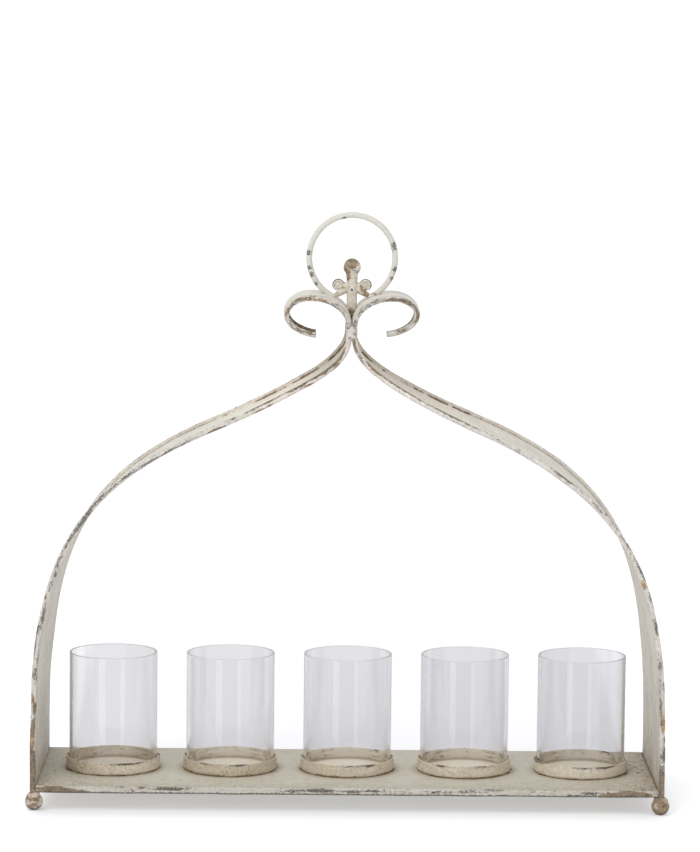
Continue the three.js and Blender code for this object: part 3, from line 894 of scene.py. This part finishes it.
def hand_bent(section, depth, run, hand_set, seed):
    """Outward and across places of the strap's section at one run, waved, shifted and twisted."""
    out, across = section.T
    ends = np.sign(across)
    on_flange = np.clip((out - SHEET) / (ARM_FLANGE - SHEET), 0, 1)
    at_edge = np.abs(across) > depth / 2 - EDGE_BAND
    out = out + on_flange * uneven(run, ends, LIP_WAVE, seed) + uneven(run, across, BOW_WAVE, seed)
    out = out + MM * np.interp(run / MM, SET_RUNS, hand_set["shift"])
    across = across + ends * at_edge * uneven(run, ends, EDGE_WAVE, seed)
    turn = math.radians(np.interp(run / MM, SET_RUNS, hand_set["twist"]))
    return out * math.cos(turn) - across * math.sin(turn), across * math.cos(turn) + out * math.sin(turn)


def arm_wear(side, section, owner, depth, height, run, front_wear, back_wear, seed):
    """Wear of the strap's section at one run."""
    out, across = section.T
    edge_gap = depth / 2 - np.abs(across)
    rims = along_loop(section, owner, [1, 2, 5, 6])
    bends = along_loop(section, owner, [0, 7]) + BEND_WEAR_GAP
    corner = along_loop(section, owner, [3, 4])
    joint = np.where(out < SHEET / 2, abs(height - TRAY_TOP) + JOINT_GAP[side], NO_JOINT)
    upper = np.interp(run, UPPER_RUNS, UPPER_SHARE)
    skirt = np.clip(1 - (edge_gap - SHEET) / SKIRT_FADE, 0, 1)
    in_trough = (edge_gap > TROUGH_START) & (out > TROUGH_START)
    exposed = skirt * np.where((edge_gap > SHEET / 2) & (out > SHEET), INNER_WEAR, 1.0)
    rust, ochre, bare = both_sides(across < 0, run, out / ARM_FLANGE, front_wear, back_wear)
    tail = np.clip((run - TAIL_RUST_START) / TAIL_RUST_LENGTH, 0, TAIL_RUST_LIMIT[side])
    dashes = sum(uneven(run, np.sign(across), wave, seed) for wave in CREASE_DASHES)
    crease = np.interp(run, CREASE_RUNS, CREASE_RUST) * soft(corner, CREASE_WIDTH)
    crease = crease * np.clip(CREASE_MEAN + dashes, 0, CREASE_LIMIT)
    trough_ochre = TAIL_OCHRE if run > TAIL_RUST_START else CREASE_OCHRE
    near_foot = FOOT_GRIME[side] * math.exp(-run / FOOT_GRIME_LENGTH)
    near_neck = NECK_GRIME / (1 + math.exp((NECK_GRIME_RUN - run) / NECK_GRIME_FADE))
    return {
        "rim": np.minimum(rims, bends),
        "fold": np.minimum(corner + upper * UPPER_CORNER_GAP, joint),
        "rust": np.maximum.reduce([exposed * rust, tail * in_trough, crease]),
        "ochre": np.maximum(ochre, trough_ochre * in_trough),
        "bare": exposed * bare,
        "grime": near_foot + (SKIRT_GRIME + near_neck) * skirt * ~in_trough,
        "warm": np.full(len(out), upper * UPPER_WARMTH),
    }


def arm(side, front_wear, back_wear, hand_set, seed):
    path, outward, runs = arm_path()
    taper = (2 * TRAY_EDGE - TAIL_DEPTH) / (runs[-1] - PARALLEL_RUN)
    rings, rows = [], []
    for point, normal, run in zip(path, outward, runs):
        depth = 2 * TRAY_EDGE - taper * max(0.0, run - PARALLEL_RUN)
        section, owner = channel(depth)
        out, across = hand_bent(section, depth, run, hand_set, seed)
        rings.append(np.stack([side * (point[0] + normal[0] * out), across, point[1] + normal[1] * out], 1))
        row = arm_wear(side, section, owner, depth, point[1], run, front_wear, back_wear, seed)
        row["grain"] = np.stack([np.full(len(out), run), across, out + side], 1)
        rows.append(row)
    points, faces = skin(np.array(rings))
    name = "left_arm" if side < 0 else "right_arm"
    piece = build(f"{name}_strap", points, faces, arm_paint, **gather(rows))
    dress(piece, name)


arm(-1, LEFT_WEAR, RIGHT_WEAR, LEFT_SET, 1)
arm(1, RIGHT_WEAR, LEFT_WEAR, RIGHT_SET, 2)


# Tray
def cup_ring_gap(x, y):
    """Distance over the tray's top from the nearest cup's wall."""
    return np.abs(np.hypot(x - CUP_PITCH * round(x / CUP_PITCH), y) - CUP_RADIUS)


def tray_wear(x, section, low, corner):
    """Wear of the tray's section at one place along it; low is each point's share of the way down."""
    y, z = section.T
    side = 1 if x > 0 else -1
    end_gap = TRAY_REACH - abs(x)
    top = low < TOP_SHARE
    lip = np.clip((np.abs(y) - TRAY_EDGE + LIP_BAND) / LIP_FADE, 0, 1)
    rust, ochre, bare = both_sides(y < 0, x, 1 - low, LIP_WEAR, LIP_WEAR)
    lower_rim = LOWER_RIM_DARKENING * np.exp(-(z - FOOT_TOP) / LOWER_RIM_HEIGHT)
    scratched = np.zeros(len(y))
    for along, across, half_along, half_across, strength in TRAY_SCRATCHES:
        scratched += strength * soft(x / MM - along, half_along) * soft(y / MM - across, half_across) * top
    scratched = np.minimum(scratched * SCRATCH_GAIN, WEAR_LIMIT)
    joint = JOINT_RUST * math.exp(-(TRAY_REACH - x) / JOINT_FADE) * (np.abs(y) < TRAY_EDGE - JOINT_MARGIN)
    ringed = CUP_RING_RUST * soft(cup_ring_gap(x, y), CUP_RING_WIDTH) * top
    ringed *= CUP_RING_MEAN + uneven(x, y, CUP_RING_WAVE, CUP_RING_SEED)
    pits = PITS_RUST * math.exp(-(TRAY_REACH + x) / PITS_LENGTH) * top
    # Painted shade and grime towards each end, where the arms shade the tray
    end_grime = END_GRIME_AND_SHADE[side] * math.exp(-end_gap / END_GRIME_AND_SHADE_LENGTH)
    front_grime = FRONT_GRIME * np.exp(-(TRAY_EDGE + y) / FRONT_GRIME_LENGTH) * top
    return {
        "fold": np.minimum(end_gap + JOINT_GAP[side], corner),
        "rust": np.maximum.reduce([lip * rust, joint, ringed, pits]),
        "ochre": np.maximum(ochre, JOINT_OCHRE * (joint > JOINT_OCHRE_START)),
        "bare": np.maximum(lip * np.maximum(bare, lower_rim), scratched),
        "grime": end_grime + front_grime,
    }


def tray():
    inside = TRAY_EDGE - SHEET
    under = TRAY_TOP - SHEET
    corners = [
        (-TRAY_EDGE, FOOT_TOP), (-inside, FOOT_TOP), (-inside, under), (inside, under),
        (inside, FOOT_TOP), (TRAY_EDGE, FOOT_TOP), (TRAY_EDGE, TRAY_TOP), (-TRAY_EDGE, TRAY_TOP),
    ]
    radii = [RIM_ROUND, RIM_ROUND, CORNER_ROUND, CORNER_ROUND, RIM_ROUND, RIM_ROUND, BEND_ROUND, BEND_ROUND]
    section, owner = rounded_loop(corners, radii, [1, 2, 14, 2, 1, 4, 60, 4])
    rims = along_loop(section, owner, [0, 1, 4, 5]) + LIP_RIM_GAP
    bends = along_loop(section, owner, [6, 7])
    corner = along_loop(section, owner, [2, 3])
    y, z = section.T
    low = np.clip((TRAY_TOP - z) / (TRAY_TOP - FOOT_TOP), 0, 1)
    rings, rows = [], []
    for x in np.linspace(-TRAY_REACH, TRAY_REACH, TRAY_STEPS):
        wave = low * uneven(x, np.sign(y), TRAY_WAVE, TRAY_SEED)
        rings.append(np.stack([np.full(len(y), x), y, z + wave], 1))
        rows.append({"rim": np.minimum(rims, bends), **tray_wear(x, section, low, corner)})
    points, faces = skin(np.array(rings))
    piece = build("tray_sheet", points, faces, tray_paint, grain=points, **gather(rows))
    dress(piece, "tray")


tray()


# Turned pieces
def lathe(loop, centre, wobble, seed, steps):
    """Rings of a closed [radius, height] loop turned about an upright axis, with its points in order."""
    rings, grain = [], []
    for turn in circle(steps):
        way = np.array([math.cos(turn), math.sin(turn)])
        shift = wobble * ripple([(way[0], way[1], h / WOBBLE_HEIGHT) for h in loop[:, 1]], 1.0, seed)
        radius = np.where(loop[:, 0] > WOBBLE_START, loop[:, 0] + shift, loop[:, 0])
        rings.append(np.stack([centre[0] + radius * way[0], centre[1] + radius * way[1],
                               centre[2] + loop[:, 1]], 1))
        grain.append(np.stack([turn * loop[:, 0], loop[:, 1], loop[:, 0]], 1))
    points, faces = skin(np.array(rings), wrap=True)
    return points, faces, np.concatenate(grain)


def turn_gap(angle, place):
    """Degrees from a place round a cup to each angle, from -180 to 180."""
    return (angle - place + 180) % 360 - 180


def cup(index):
    name = f"candle_cup_{index}"
    low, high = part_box(name)
    middle = (low.x + high.x) / 2
    outer = (high.x - low.x) / 2
    inner = outer - CUP_WALL
    height = high.z - low.z
    corners = [(0, 0), (outer, 0), (outer, height), (inner, height), (inner, CUP_FLOOR), (0, CUP_FLOOR)]
    loop, owner = rounded_loop(corners, CUP_ROUNDS, [6, 4, 1, 4, 8, 0])
    points, faces, grain = lathe(loop, (middle, 0, low.z), CUP_WOBBLE, index, CUP_STEPS)
    rim = np.tile(along_loop(loop, owner, [2, 3]), CUP_STEPS)
    fold = np.tile(along_loop(loop, owner, [1, 4]), CUP_STEPS)
    inside = np.tile((loop[:, 0] < outer - CUP_WALL / 2) & (loop[:, 1] > CUP_FLOOR / 2), CUP_STEPS)
    near_floor = np.tile(loop[:, 1] <= CUP_FLOOR_EDGE, CUP_STEPS)
    grain = np.where(near_floor[:, None], points, grain)
    angle = np.degrees(np.arctan2(points[:, 1], points[:, 0] - middle))

    place = index - 1
    chipped = np.zeros(len(points))
    for chip, spread, strength in CUP_CHIPS[place]:
        chipped += strength * soft(turn_gap(angle, chip), spread) * soft(rim, CHIP_HEIGHT)
    base = np.where(inside, 0.0, soft(points[:, 2] - low.z, BASE_RUST_HEIGHT))
    base *= CUP_BASE_RUST[place] * mottled(points, BASE_PATCHES, index)
    flanks = np.abs(np.cos(np.radians(angle))) ** FLANK_POWER * mottled(points, FLANK_PATCHES, index)
    wall_stain = CUP_STAIN[place] + CUP_INSIDE_PATCHES[place] * np.maximum(flanks, 0)
    # On the cup's floor the grime share is partly stain and partly painted shade
    inner_grime = np.where(near_floor, CUP_FLOOR_STAIN_AND_SHADE * CUP_STAIN[place], wall_stain)
    inner_rust = np.where(near_floor, CUP_FLOOR_RUST, WALL_RUST + FLANK_RUST * np.clip(flanks, 0, 1))
    # Partly stain and partly painted shade on the cup's left front side
    aside = CUP_SIDE_STAIN_AND_SHADE[place] * soft(turn_gap(angle, SIDE_STAIN_AND_SHADE_TURN), SIDE_STAIN_AND_SHADE_SPREAD)
    outer_rust = PATCH_RUST * np.clip(mottled(points, CUP_PATCHES, index), 0, 1) + ASIDE_RUST_AND_SHADE * aside
    finish = warm_cup_paint if index in WARM_CUPS else cup_paint
    piece = build(f"{name}_pan", points, faces, finish, rim=rim, fold=fold, grain=grain,
                  bare=np.minimum(chipped, WEAR_LIMIT),
                  rust=np.maximum(np.where(inside, inner_rust, outer_rust), base),
                  ochre=np.where(inside, INNER_OCHRE, OUTER_OCHRE),
                  grime=np.where(inside, inner_grime, CUP_GRIME[place] + aside))
    dress(piece, name)


def glass(index):
    name = f"hurricane_glass_{index}"
    low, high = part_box(name)
    outer = (high.x - low.x) / 2
    inner = outer - GLASS_WALL
    height = high.z - low.z
    corners = [(inner, 0), (outer, 0), (outer, height), (inner, height)]
    loop, _ = rounded_loop(corners, [GLASS_LIP] * 4, [1, 8, 1, 8])
    points, faces, grain = lathe(loop, ((low.x + high.x) / 2, 0, low.z), 0.0, index, GLASS_STEPS)
    # Darker from the first glass to the last, painted shade, and darker towards the bottom
    smoke = (index - 1) / (LIGHTS - 1) + LOW_DARKENING * (1 - (points[:, 2] - low.z) / height)
    piece = build(f"{name}_cylinder", points, faces, glass_finish, grain=grain, smoke=smoke)
    piece.data.materials.append(edge_finish)
    for face in piece.data.polygons:
        face.material_index = int(face.center.z > high.z - GLASS_EDGE)
    dress(piece, name)


for index in range(1, LIGHTS + 1):
    cup(index)
    glass(index)


# Castings, blended from simple closed shells
def ball(centre, radii, rings=18, segments=28):
    """Closed ellipsoid."""
    lift = np.linspace(-math.pi / 2, math.pi / 2, rings + 1)
    turn = circle(segments)
    unit = np.stack([np.outer(np.cos(lift), np.cos(turn)), np.outer(np.cos(lift), np.sin(turn)),
                     np.outer(np.sin(lift), np.ones(segments))], -1)
    return skin(unit * np.asarray(radii) + np.asarray(centre))


def tube(path, radii, flatten=1.0, sides=16):
    """Closed rod along a path in the XZ plane, with a radius at each point, flattened along Y."""
    path = np.asarray(path, float)
    tangent = directions(path)
    across = np.stack([tangent[:, 2], np.zeros(len(path)), -tangent[:, 0]], 1)
    turn = circle(sides)
    rings = [p + r * (np.outer(np.cos(turn), n) + np.outer(np.sin(turn) * flatten, (0, 1, 0)))
             for p, r, n in zip(path, radii, across)]
    return skin(np.array(rings))


def blend(name, shells, voxel, rounds):
    """Mesh of one body from overlapping shells, with softened joins."""
    mesh = bpy.data.meshes.new(name)
    points, faces = [], []
    for shell_points, shell_faces in shells:
        start = sum(len(p) for p in points)
        points.append(shell_points)
        faces += [[v + start for v in face] for face in shell_faces]
    mesh.from_pydata(np.concatenate(points).tolist(), [], faces)
    clean(mesh)
    body = add(name, mesh)
    remesh = body.modifiers.new("remesh", "REMESH")
    remesh.mode = "VOXEL"
    remesh.voxel_size = voxel
    smooth = body.modifiers.new("smooth", "SMOOTH")
    smooth.iterations = rounds
    made = bpy.data.meshes.new_from_object(body.evaluated_get(bpy.context.evaluated_depsgraph_get()))
    bpy.data.objects.remove(body)
    return made


def read(items, field, width, kind=float):
    """One field of a mesh's items, with a row for each item."""
    values = np.empty(len(items) * width, kind)
    items.foreach_get(field, values)
    return values.reshape(-1, width)


def hollows(mesh, rounds, reach):
    """Points, and how far each lies below (positive) or above its surroundings, smoothed and from -1 to 1."""
    points = read(mesh.vertices, "co", 3)
    normals = read(mesh.vertex_normals, "vector", 3)
    a, b = read(mesh.edges, "vertices", 2, int).T
    shares = np.bincount(a, minlength=len(points)) + np.bincount(b, minlength=len(points))

    def spread(values):
        total = np.zeros_like(values)
        np.add.at(total, a, values[b])
        np.add.at(total, b, values[a])
        return total / shares.reshape((-1,) + (1,) * (values.ndim - 1))

    smooth = points
    for _ in range(rounds):
        smooth = spread(smooth)
    depth = ((smooth - points) * normals).sum(1)
    for _ in range(DEPTH_ROUNDS):
        depth = spread(depth)
    return points, np.clip(depth / reach, -1, 1)


def placed(spots, origin, gain=1.0):
    """Spots moved to an origin (mm), with their strengths times a gain."""
    return [(np.add(origin, place), radius, gain * strength) for place, radius, strength in spots]


def spots_weight(points, spots):
    """Sum of soft round spots: centre (mm), radius (mm) and strength."""
    total = np.zeros(len(points))
    for centre, radius, strength in spots:
        total += strength * soft(np.linalg.norm(points / MM - centre, axis=1), radius)
    return np.minimum(total, WEAR_LIMIT)


def casting(name, node, shells, material, voxel=0.45 * MM, rounds=3, rust=(), bare=(), lumps=0.0,
            grime=0.0, ochre=0.0):
    """Blended body with wear on its high places, and grime and painted shade in its hollows."""
    mesh = blend(name, shells, voxel, rounds)
    points, depth = hollows(mesh, HOLLOW_ROUNDS, HOLLOW_REACH)
    faces = [list(p.vertices) for p in mesh.polygons]
    bpy.data.meshes.remove(mesh)
    points = points + lumps * ripple(points, LUMP_SIZE, LUMP_SEED)[:, None] * np.array(LUMP_WAY)
    points[:, 2] = np.maximum(points[:, 2], 0.0)
    rim = WEAR_REACH * (1 - np.clip(-depth, 0, 1))
    fold = WEAR_REACH * (1 - np.clip(depth * HOLLOW_GAIN, 0, 1))
    piece = build(name, points, faces, material, rim=rim, fold=fold, rust=spots_weight(points, rust),
                  bare=spots_weight(points, bare), grime=np.full(len(points), grime),
                  ochre=np.full(len(points), ochre), grain=points)
    dress(piece, node)


# Feet
def foot_shoulder(x, y, centre, end):
    """Sloping shoulder from the ball up to the tray's edge."""
    radius, lean = FOOT_SHOULDERS[end]
    top = x + lean
    path = [(x, y, centre + SHOULDER_START), (top, y, FOOT_TOP - SHOULDER_ROUND), (top, y, FOOT_TOP)]
    return tube(path, [SHOULDER_START_RADIUS, radius, radius - SHOULDER_ROUND])


def foot(row, end):
    node = f"foot_{row}_{end}"
    low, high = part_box(node)
    x, y = (low.x + high.x) / 2, (low.y + high.y) / 2
    radius = (high.x - low.x) / 2
    centre = math.sqrt(radius ** 2 - FOOT_FLAT ** 2)
    shells = [ball((x, y, centre), (radius, radius, radius))]
    for place, radii in FOOT_WELD:
        shells.append(ball(np.array(place) * MM + (x, y, FOOT_TOP), np.array(radii) * MM))
    shells.append(foot_shoulder(x, y, centre, end))
    middle = (x / MM, y / MM, centre / MM)
    rust_gain, grime = FOOT_WEAR[end]
    casting(f"{node}_ball", node, shells, foot_paint,
            rust=placed(FOOT_RUST, middle, rust_gain), bare=placed(FOOT_BARE_AND_SHADE, middle), lumps=FOOT_LUMPS,
            grime=grime, ochre=0.25)


for row in ("front", "back"):
    for end in ("left", "right"):
        foot(row, end)


# Handle ring
def scroll_height(reach):
    share = (SCROLL_TOP_REACH - reach) / (SCROLL_TOP_REACH - NECK_HALF_GAP)
    return NECK_TOP + SCROLL_TOP_RISE * math.sqrt(1 - share ** 2)


def handle_ring():
    centre = RING_TOP - RING_ROD - RING_RADIUS
    half = math.pi - math.asin(RING_SEAT_REACH / RING_RADIUS)
    turn = math.pi / 2 + np.linspace(-half, half, RING_STEPS)
    x, z = RING_RADIUS * np.cos(turn), RING_RADIUS * np.sin(turn)
    path = np.stack([x, np.zeros(RING_STEPS), centre + z], 1)
    shells = [tube(path, np.full(RING_STEPS, RING_ROD), sides=20)]
    for side in (-1, 1):
        for reach, size in RING_WELD:
            height = scroll_height(reach * MM) + RING_WELD_RISE
            radii = (size * MM, RING_WELD_DEPTH, RING_WELD_HEIGHT)
            shells.append(ball((side * reach * MM, 0, height), radii))
    lowest = (0, 0, (centre - RING_RADIUS) / MM)
    casting("handle_ring_rod", "handle_ring", shells, ring_paint,
            rust=placed(RING_RUST, lowest), bare=placed(RING_BARE, lowest), ochre=0.5)


handle_ring()


# Finial
def petal(side):
    """Shells of one petal: a limb from the stem, a lobe with a rolled edge, and a tail down to the ring."""
    def rod(places, flatten):
        path = [(side * x * MM, 0, NECK_TOP + z * MM) for x, z, _ in places]
        return tube(path, [radius * MM for _, _, radius in places], flatten)

    lobe = (side * CURL_REACH * MM, 0, NECK_TOP + CURL_RISE * MM)
    turns = np.radians(np.linspace(*CURL_SWEEP, CURL_STEPS))
    edge = [(CURL_REACH + CURL_RADIUS * math.cos(turn), CURL_RISE + CURL_RADIUS * math.sin(turn), radius)
            for turn, radius in zip(turns, np.linspace(*CURL_ROD, CURL_STEPS))]
    return [
        ball(lobe, (LOBE_RADIUS, LOBE_DEPTH, LOBE_RADIUS)),
        rod(edge, flatten=2.0),
        ball(lobe, LOBE_BUTTON),
        rod(PETAL_LIMB, flatten=0.72),
        rod(PETAL_TAIL, flatten=1.0),
    ]


def curl_wear(side):
    """Bare spots along a petal's rolled edge."""
    spots = []
    for turn in np.radians(CURL_WEAR_TURNS):
        x = CURL_REACH + CURL_WEAR_RADIUS * math.cos(turn)
        z = CURL_RISE + CURL_WEAR_RADIUS * math.sin(turn)
        spots.append(((side * x, CURL_WEAR_OUT, z), CURL_SPOT_RADIUS, CURL_SPOT_STRENGTH))
    return spots


def finial():
    stem = [(0, 0, NECK_TOP + rise * MM) for rise in STEM_RISES]
    shells = [
        tube(stem, np.array(STEM_RADII) * MM, sides=24),
        ball((0, 0, NECK_TOP + KNOB_RISE), (KNOB_RADIUS,) * 3),
    ]
    for face in (-1, 1):
        leaf = [(0, face * LEAF_OUT, NECK_TOP + rise * MM) for rise in LEAF_RISES]
        shells.append(tube(leaf, np.array(LEAF_RADII) * MM, flatten=LEAF_FLATTEN))
    bare = list(FINIAL_BARE)
    for side in (-1, 1):
        shells += petal(side)
        bare += curl_wear(side)
    top = (0, 0, NECK_TOP / MM)
    casting("finial_casting", "finial", shells, finial_paint, voxel=0.36 * MM,
            rust=placed(FINIAL_RUST, top), bare=placed(bare, top), ochre=0.3)


finial()


# Weld at the neck
def neck_weld(row, face):
    node = f"neck_weld_{row}"
    low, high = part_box(node)
    mid = (low + high) / 2
    half = (high - low) / 2
    shells = [ball(mid, (half.x, half.y * WELD_PAD_DEPTH, half.z))]
    for x, z, size in WELD_LUMPS:
        centre = (mid.x + x * half.x, mid.y + face * WELD_LUMP_OUT, mid.z + z * half.z)
        shells.append(ball(centre, (size * half.x, half.y, size * half.z * WELD_LUMP_HEIGHT)))
    middle = (mid.x / MM, mid.y / MM, mid.z / MM)
    casting(f"{node}_bead", node, shells, weld_paint, rounds=2,
            rust=placed(WELD_RUST, middle), lumps=WELD_UNEVENNESS, grime=0.5)


neck_weld("front", -1)
neck_weld("back", 1)

# Stage
# Glow of the floor; the dip is a painted shadow along the tray, and the side glow is painted light beside its
# ends
FLOOR_GLOW = 0.34
FLOOR_SIDE_PAINTED_LIGHT = 0.48
FLOOR_FAR_GLOW = 0.52
FLOOR_PAINTED_SHADOW = 0.12
GLASS_PAINTED_SHADE = 0.22
MIRROR_PAINTED_SHADE = 0.40
SURROUND = 0.8
BACKDROP = 1.10
MIRROR_STEP = (-0.3, 0.5)
MIRROR_LIGHT = (0.15, 0.6)

# Where the floor's glow changes: beside the tray, where the extra glow is painted light that hides cast
# shadows, far away, and around the dip along it, a painted shadow, less on the right
SIDE_STEP = (-0.006, 0.03)
FAR_STEP = (0.35, 3.5)
DIP_START = (-0.018, 0.004)
DIP_STOP = (0.004, 0.05)
DIP_SIDE_STEP = (-0.01, 0.02)
DIP_RIGHT_STEP = (-0.1, 0.3)
DIP_RIGHT_SHARE = 0.5

# Low and high corners of the floor's two sheets
NEAR = ((-0.60, -0.29), (0.60, 0.29))
FAR = ((-250.0, -250.0), (250.0, 250.0))


def pale_floor():
    """Pale floor whose own glow grows with distance, so that it stays white beyond the key light.

    It glows least along the tray's front and back, a painted shadow, and more beyond the tray's ends, painted
    light that hides the shadows cast there; it glows less through glass and in mirror reflections, painted
    shade which keeps the glasses grey against it.
    """
    g = material_graph("pale_floor")
    tone = g.mix(g.noise(g.place(), 3.0, 2.0), (0.69, 0.69, 0.712), (0.71, 0.71, 0.732))
    x, y, _ = g.axes(g.place())
    aside = g.math("SUBTRACT", g.math("ABSOLUTE", x), TRAY_REACH)
    ahead = g.math("SUBTRACT", g.math("ABSOLUTE", y), TRAY_EDGE)
    away = g.node("ShaderNodeVectorMath", {0: g.place()}, operation="LENGTH")["Value"]
    # Painted light: more glow beside the tray's ends hides the shadows cast there
    glow = g.most(g.step(aside, *SIDE_STEP, FLOOR_GLOW, FLOOR_SIDE_PAINTED_LIGHT),
                  g.step(away, *FAR_STEP, FLOOR_GLOW, FLOOR_FAR_GLOW))
    # Painted shadow: less glow in a band along the tray's front and back
    painted_shadow = g.times(g.step(ahead, *DIP_START), g.step(ahead, *DIP_STOP, 1.0, 0.0))
    painted_shadow = g.times(painted_shadow, g.step(aside, *DIP_SIDE_STEP, FLOOR_PAINTED_SHADOW, 0.0))
    painted_shadow = g.times(painted_shadow, g.step(x, *DIP_RIGHT_STEP, 1.0, DIP_RIGHT_SHARE))
    glow = g.math("SUBTRACT", glow, painted_shadow)
    rays = g.rays()
    through_glass = rays["Is Transmission Ray"]
    mirrored = g.most(g.math("SUBTRACT", rays["Is Glossy Ray"], through_glass), 0.0)
    # Painted shade: the floor glows less seen through glass and in mirror reflections
    glow = g.plus(glow, through_glass, -GLASS_PAINTED_SHADE)
    glow = g.most(g.plus(glow, mirrored, -MIRROR_PAINTED_SHADE), 0.0)
    return g.finish(Base_Color=tone, Roughness=0.9, Specular_IOR_Level=0.0, Emission_Strength=glow,
                    Emission_Color=(0.97, 0.985, 1.0))


def rectangle(low, high):
    """Corners of a level rectangle in order."""
    return [(low[0], low[1], 0), (high[0], low[1], 0), (high[0], high[1], 0), (low[0], high[1], 0)]


def floor_sheet(name, low, high, hole=None):
    """Flat pale sheet, with a rectangular hole if one is given."""
    points = rectangle(low, high)
    faces = [(0, 1, 2, 3)]
    if hole:
        points += rectangle(*hole)
        faces = [(0, 1, 5, 4), (1, 2, 6, 5), (2, 3, 7, 6), (3, 0, 4, 7)]
    sheet = build(name, points, faces, floor_finish)
    return sheet


floor_finish = pale_floor()
floor_sheet("floor", *NEAR)
apron = floor_sheet("floor_apron", *FAR, hole=NEAR)
apron.visible_glossy = False


def card(name, centre, width, height, strength):
    """Upright glowing card that shows only in reflections and faces the object."""
    g = material_graph(name)
    glowing = g.finish(Base_Color=(0, 0, 0), Emission_Color=(1, 1, 1), Emission_Strength=strength)
    points = [(-width / 2, 0, -height / 2), (width / 2, 0, -height / 2), (width / 2, 0, height / 2),
              (-width / 2, 0, height / 2)]
    made = build(name, points, [(0, 1, 2, 3)], glowing)
    made.location = centre
    made.rotation_euler = (0, 0, math.atan2(centre[0], -centre[1]))
    for ray in ("camera", "diffuse", "transmission", "volume_scatter", "shadow"):
        setattr(made, f"visible_{ray}", False)


def lamp(name, place, aim, size, power):
    light = bpy.data.lights.new(name, "AREA")
    light.shape = "RECTANGLE"
    light.size, light.size_y = size
    light.energy = power
    made = add(name, light)
    made.location = place
    made.rotation_euler = (Vector(aim) - Vector(place)).to_track_quat("-Z", "Y").to_euler()
    made.visible_camera = False
    made.visible_glossy = False


def backdrop():
    """White surround, dimmer in mirror reflections and dimmest in front, so that glass keeps its outlines."""
    g = Graph(bpy.data.worlds.new("studio"))
    rays = g.rays()
    through_glass = rays["Is Transmission Ray"]
    behind = g.axes(g.node("ShaderNodeTexCoord")["Generated"])["Y"]
    mirrored = g.step(behind, *MIRROR_STEP, *MIRROR_LIGHT)
    mirror = g.math("SUBTRACT", rays["Is Glossy Ray"], through_glass, use_clamp=True)
    lit = g.blend(SURROUND, mirrored, mirror)
    seen = g.most(rays["Is Camera Ray"], through_glass)
    # Painted shade: the surround is dimmer seen through glass, which keeps the glasses grey
    bright = g.plus(BACKDROP, through_glass, -GLASS_PAINTED_SHADE)
    background = g.tree.nodes["Background"]
    g.put(background.inputs["Strength"], g.blend(lit, bright, seen))
    g.put(background.inputs["Color"], (1, 1, 1))
    bpy.context.scene.world = g.owner


backdrop()
lamp("key", place=(-0.9, -1.3, 2.4), aim=(0, 0, 0.2), size=(2.0, 2.0), power=30)
card("card_left", centre=(-1.35, -2.25, 0.2), width=0.75, height=3.4, strength=2.0)
card("card_right", centre=(1.0, -2.5, 0.2), width=0.50, height=3.4, strength=1.8)
card("card_side", centre=(1.75, -2.05, 0.2), width=1.2, height=3.4, strength=0.6)

# Camera, from the photograph's frame of 700 x 852 pixels
FRAME_HEIGHT = 852
FOCAL_PIXELS = 3689.7
SENSOR = 36
EYE = Vector((-38.85, -3684.6, 815.1)) * MM
YAW = math.radians(0.597)
PITCH = math.radians(6.809)
ROLL = math.radians(0.614)


def camera():
    right = Vector((math.cos(YAW), -math.sin(YAW), 0))
    ahead = Vector((math.sin(YAW) * math.cos(PITCH), math.cos(YAW) * math.cos(PITCH), -math.sin(PITCH)))
    up = right.cross(ahead)
    rolled_right = right * math.cos(ROLL) + up * math.sin(ROLL)
    rolled_up = up * math.cos(ROLL) - right * math.sin(ROLL)
    data = bpy.data.cameras.new("camera")
    data.sensor_width = SENSOR
    data.lens = FOCAL_PIXELS * SENSOR / FRAME_HEIGHT
    made = add("camera", data)
    turn = Matrix((rolled_right, rolled_up, -ahead)).transposed()
    made.matrix_world = Matrix.Translation(EYE) @ turn.to_4x4()
    bpy.context.scene.camera = made


camera()
bpy.context.scene.view_settings.view_transform = "Standard"

bpy.context.view_layer.update()
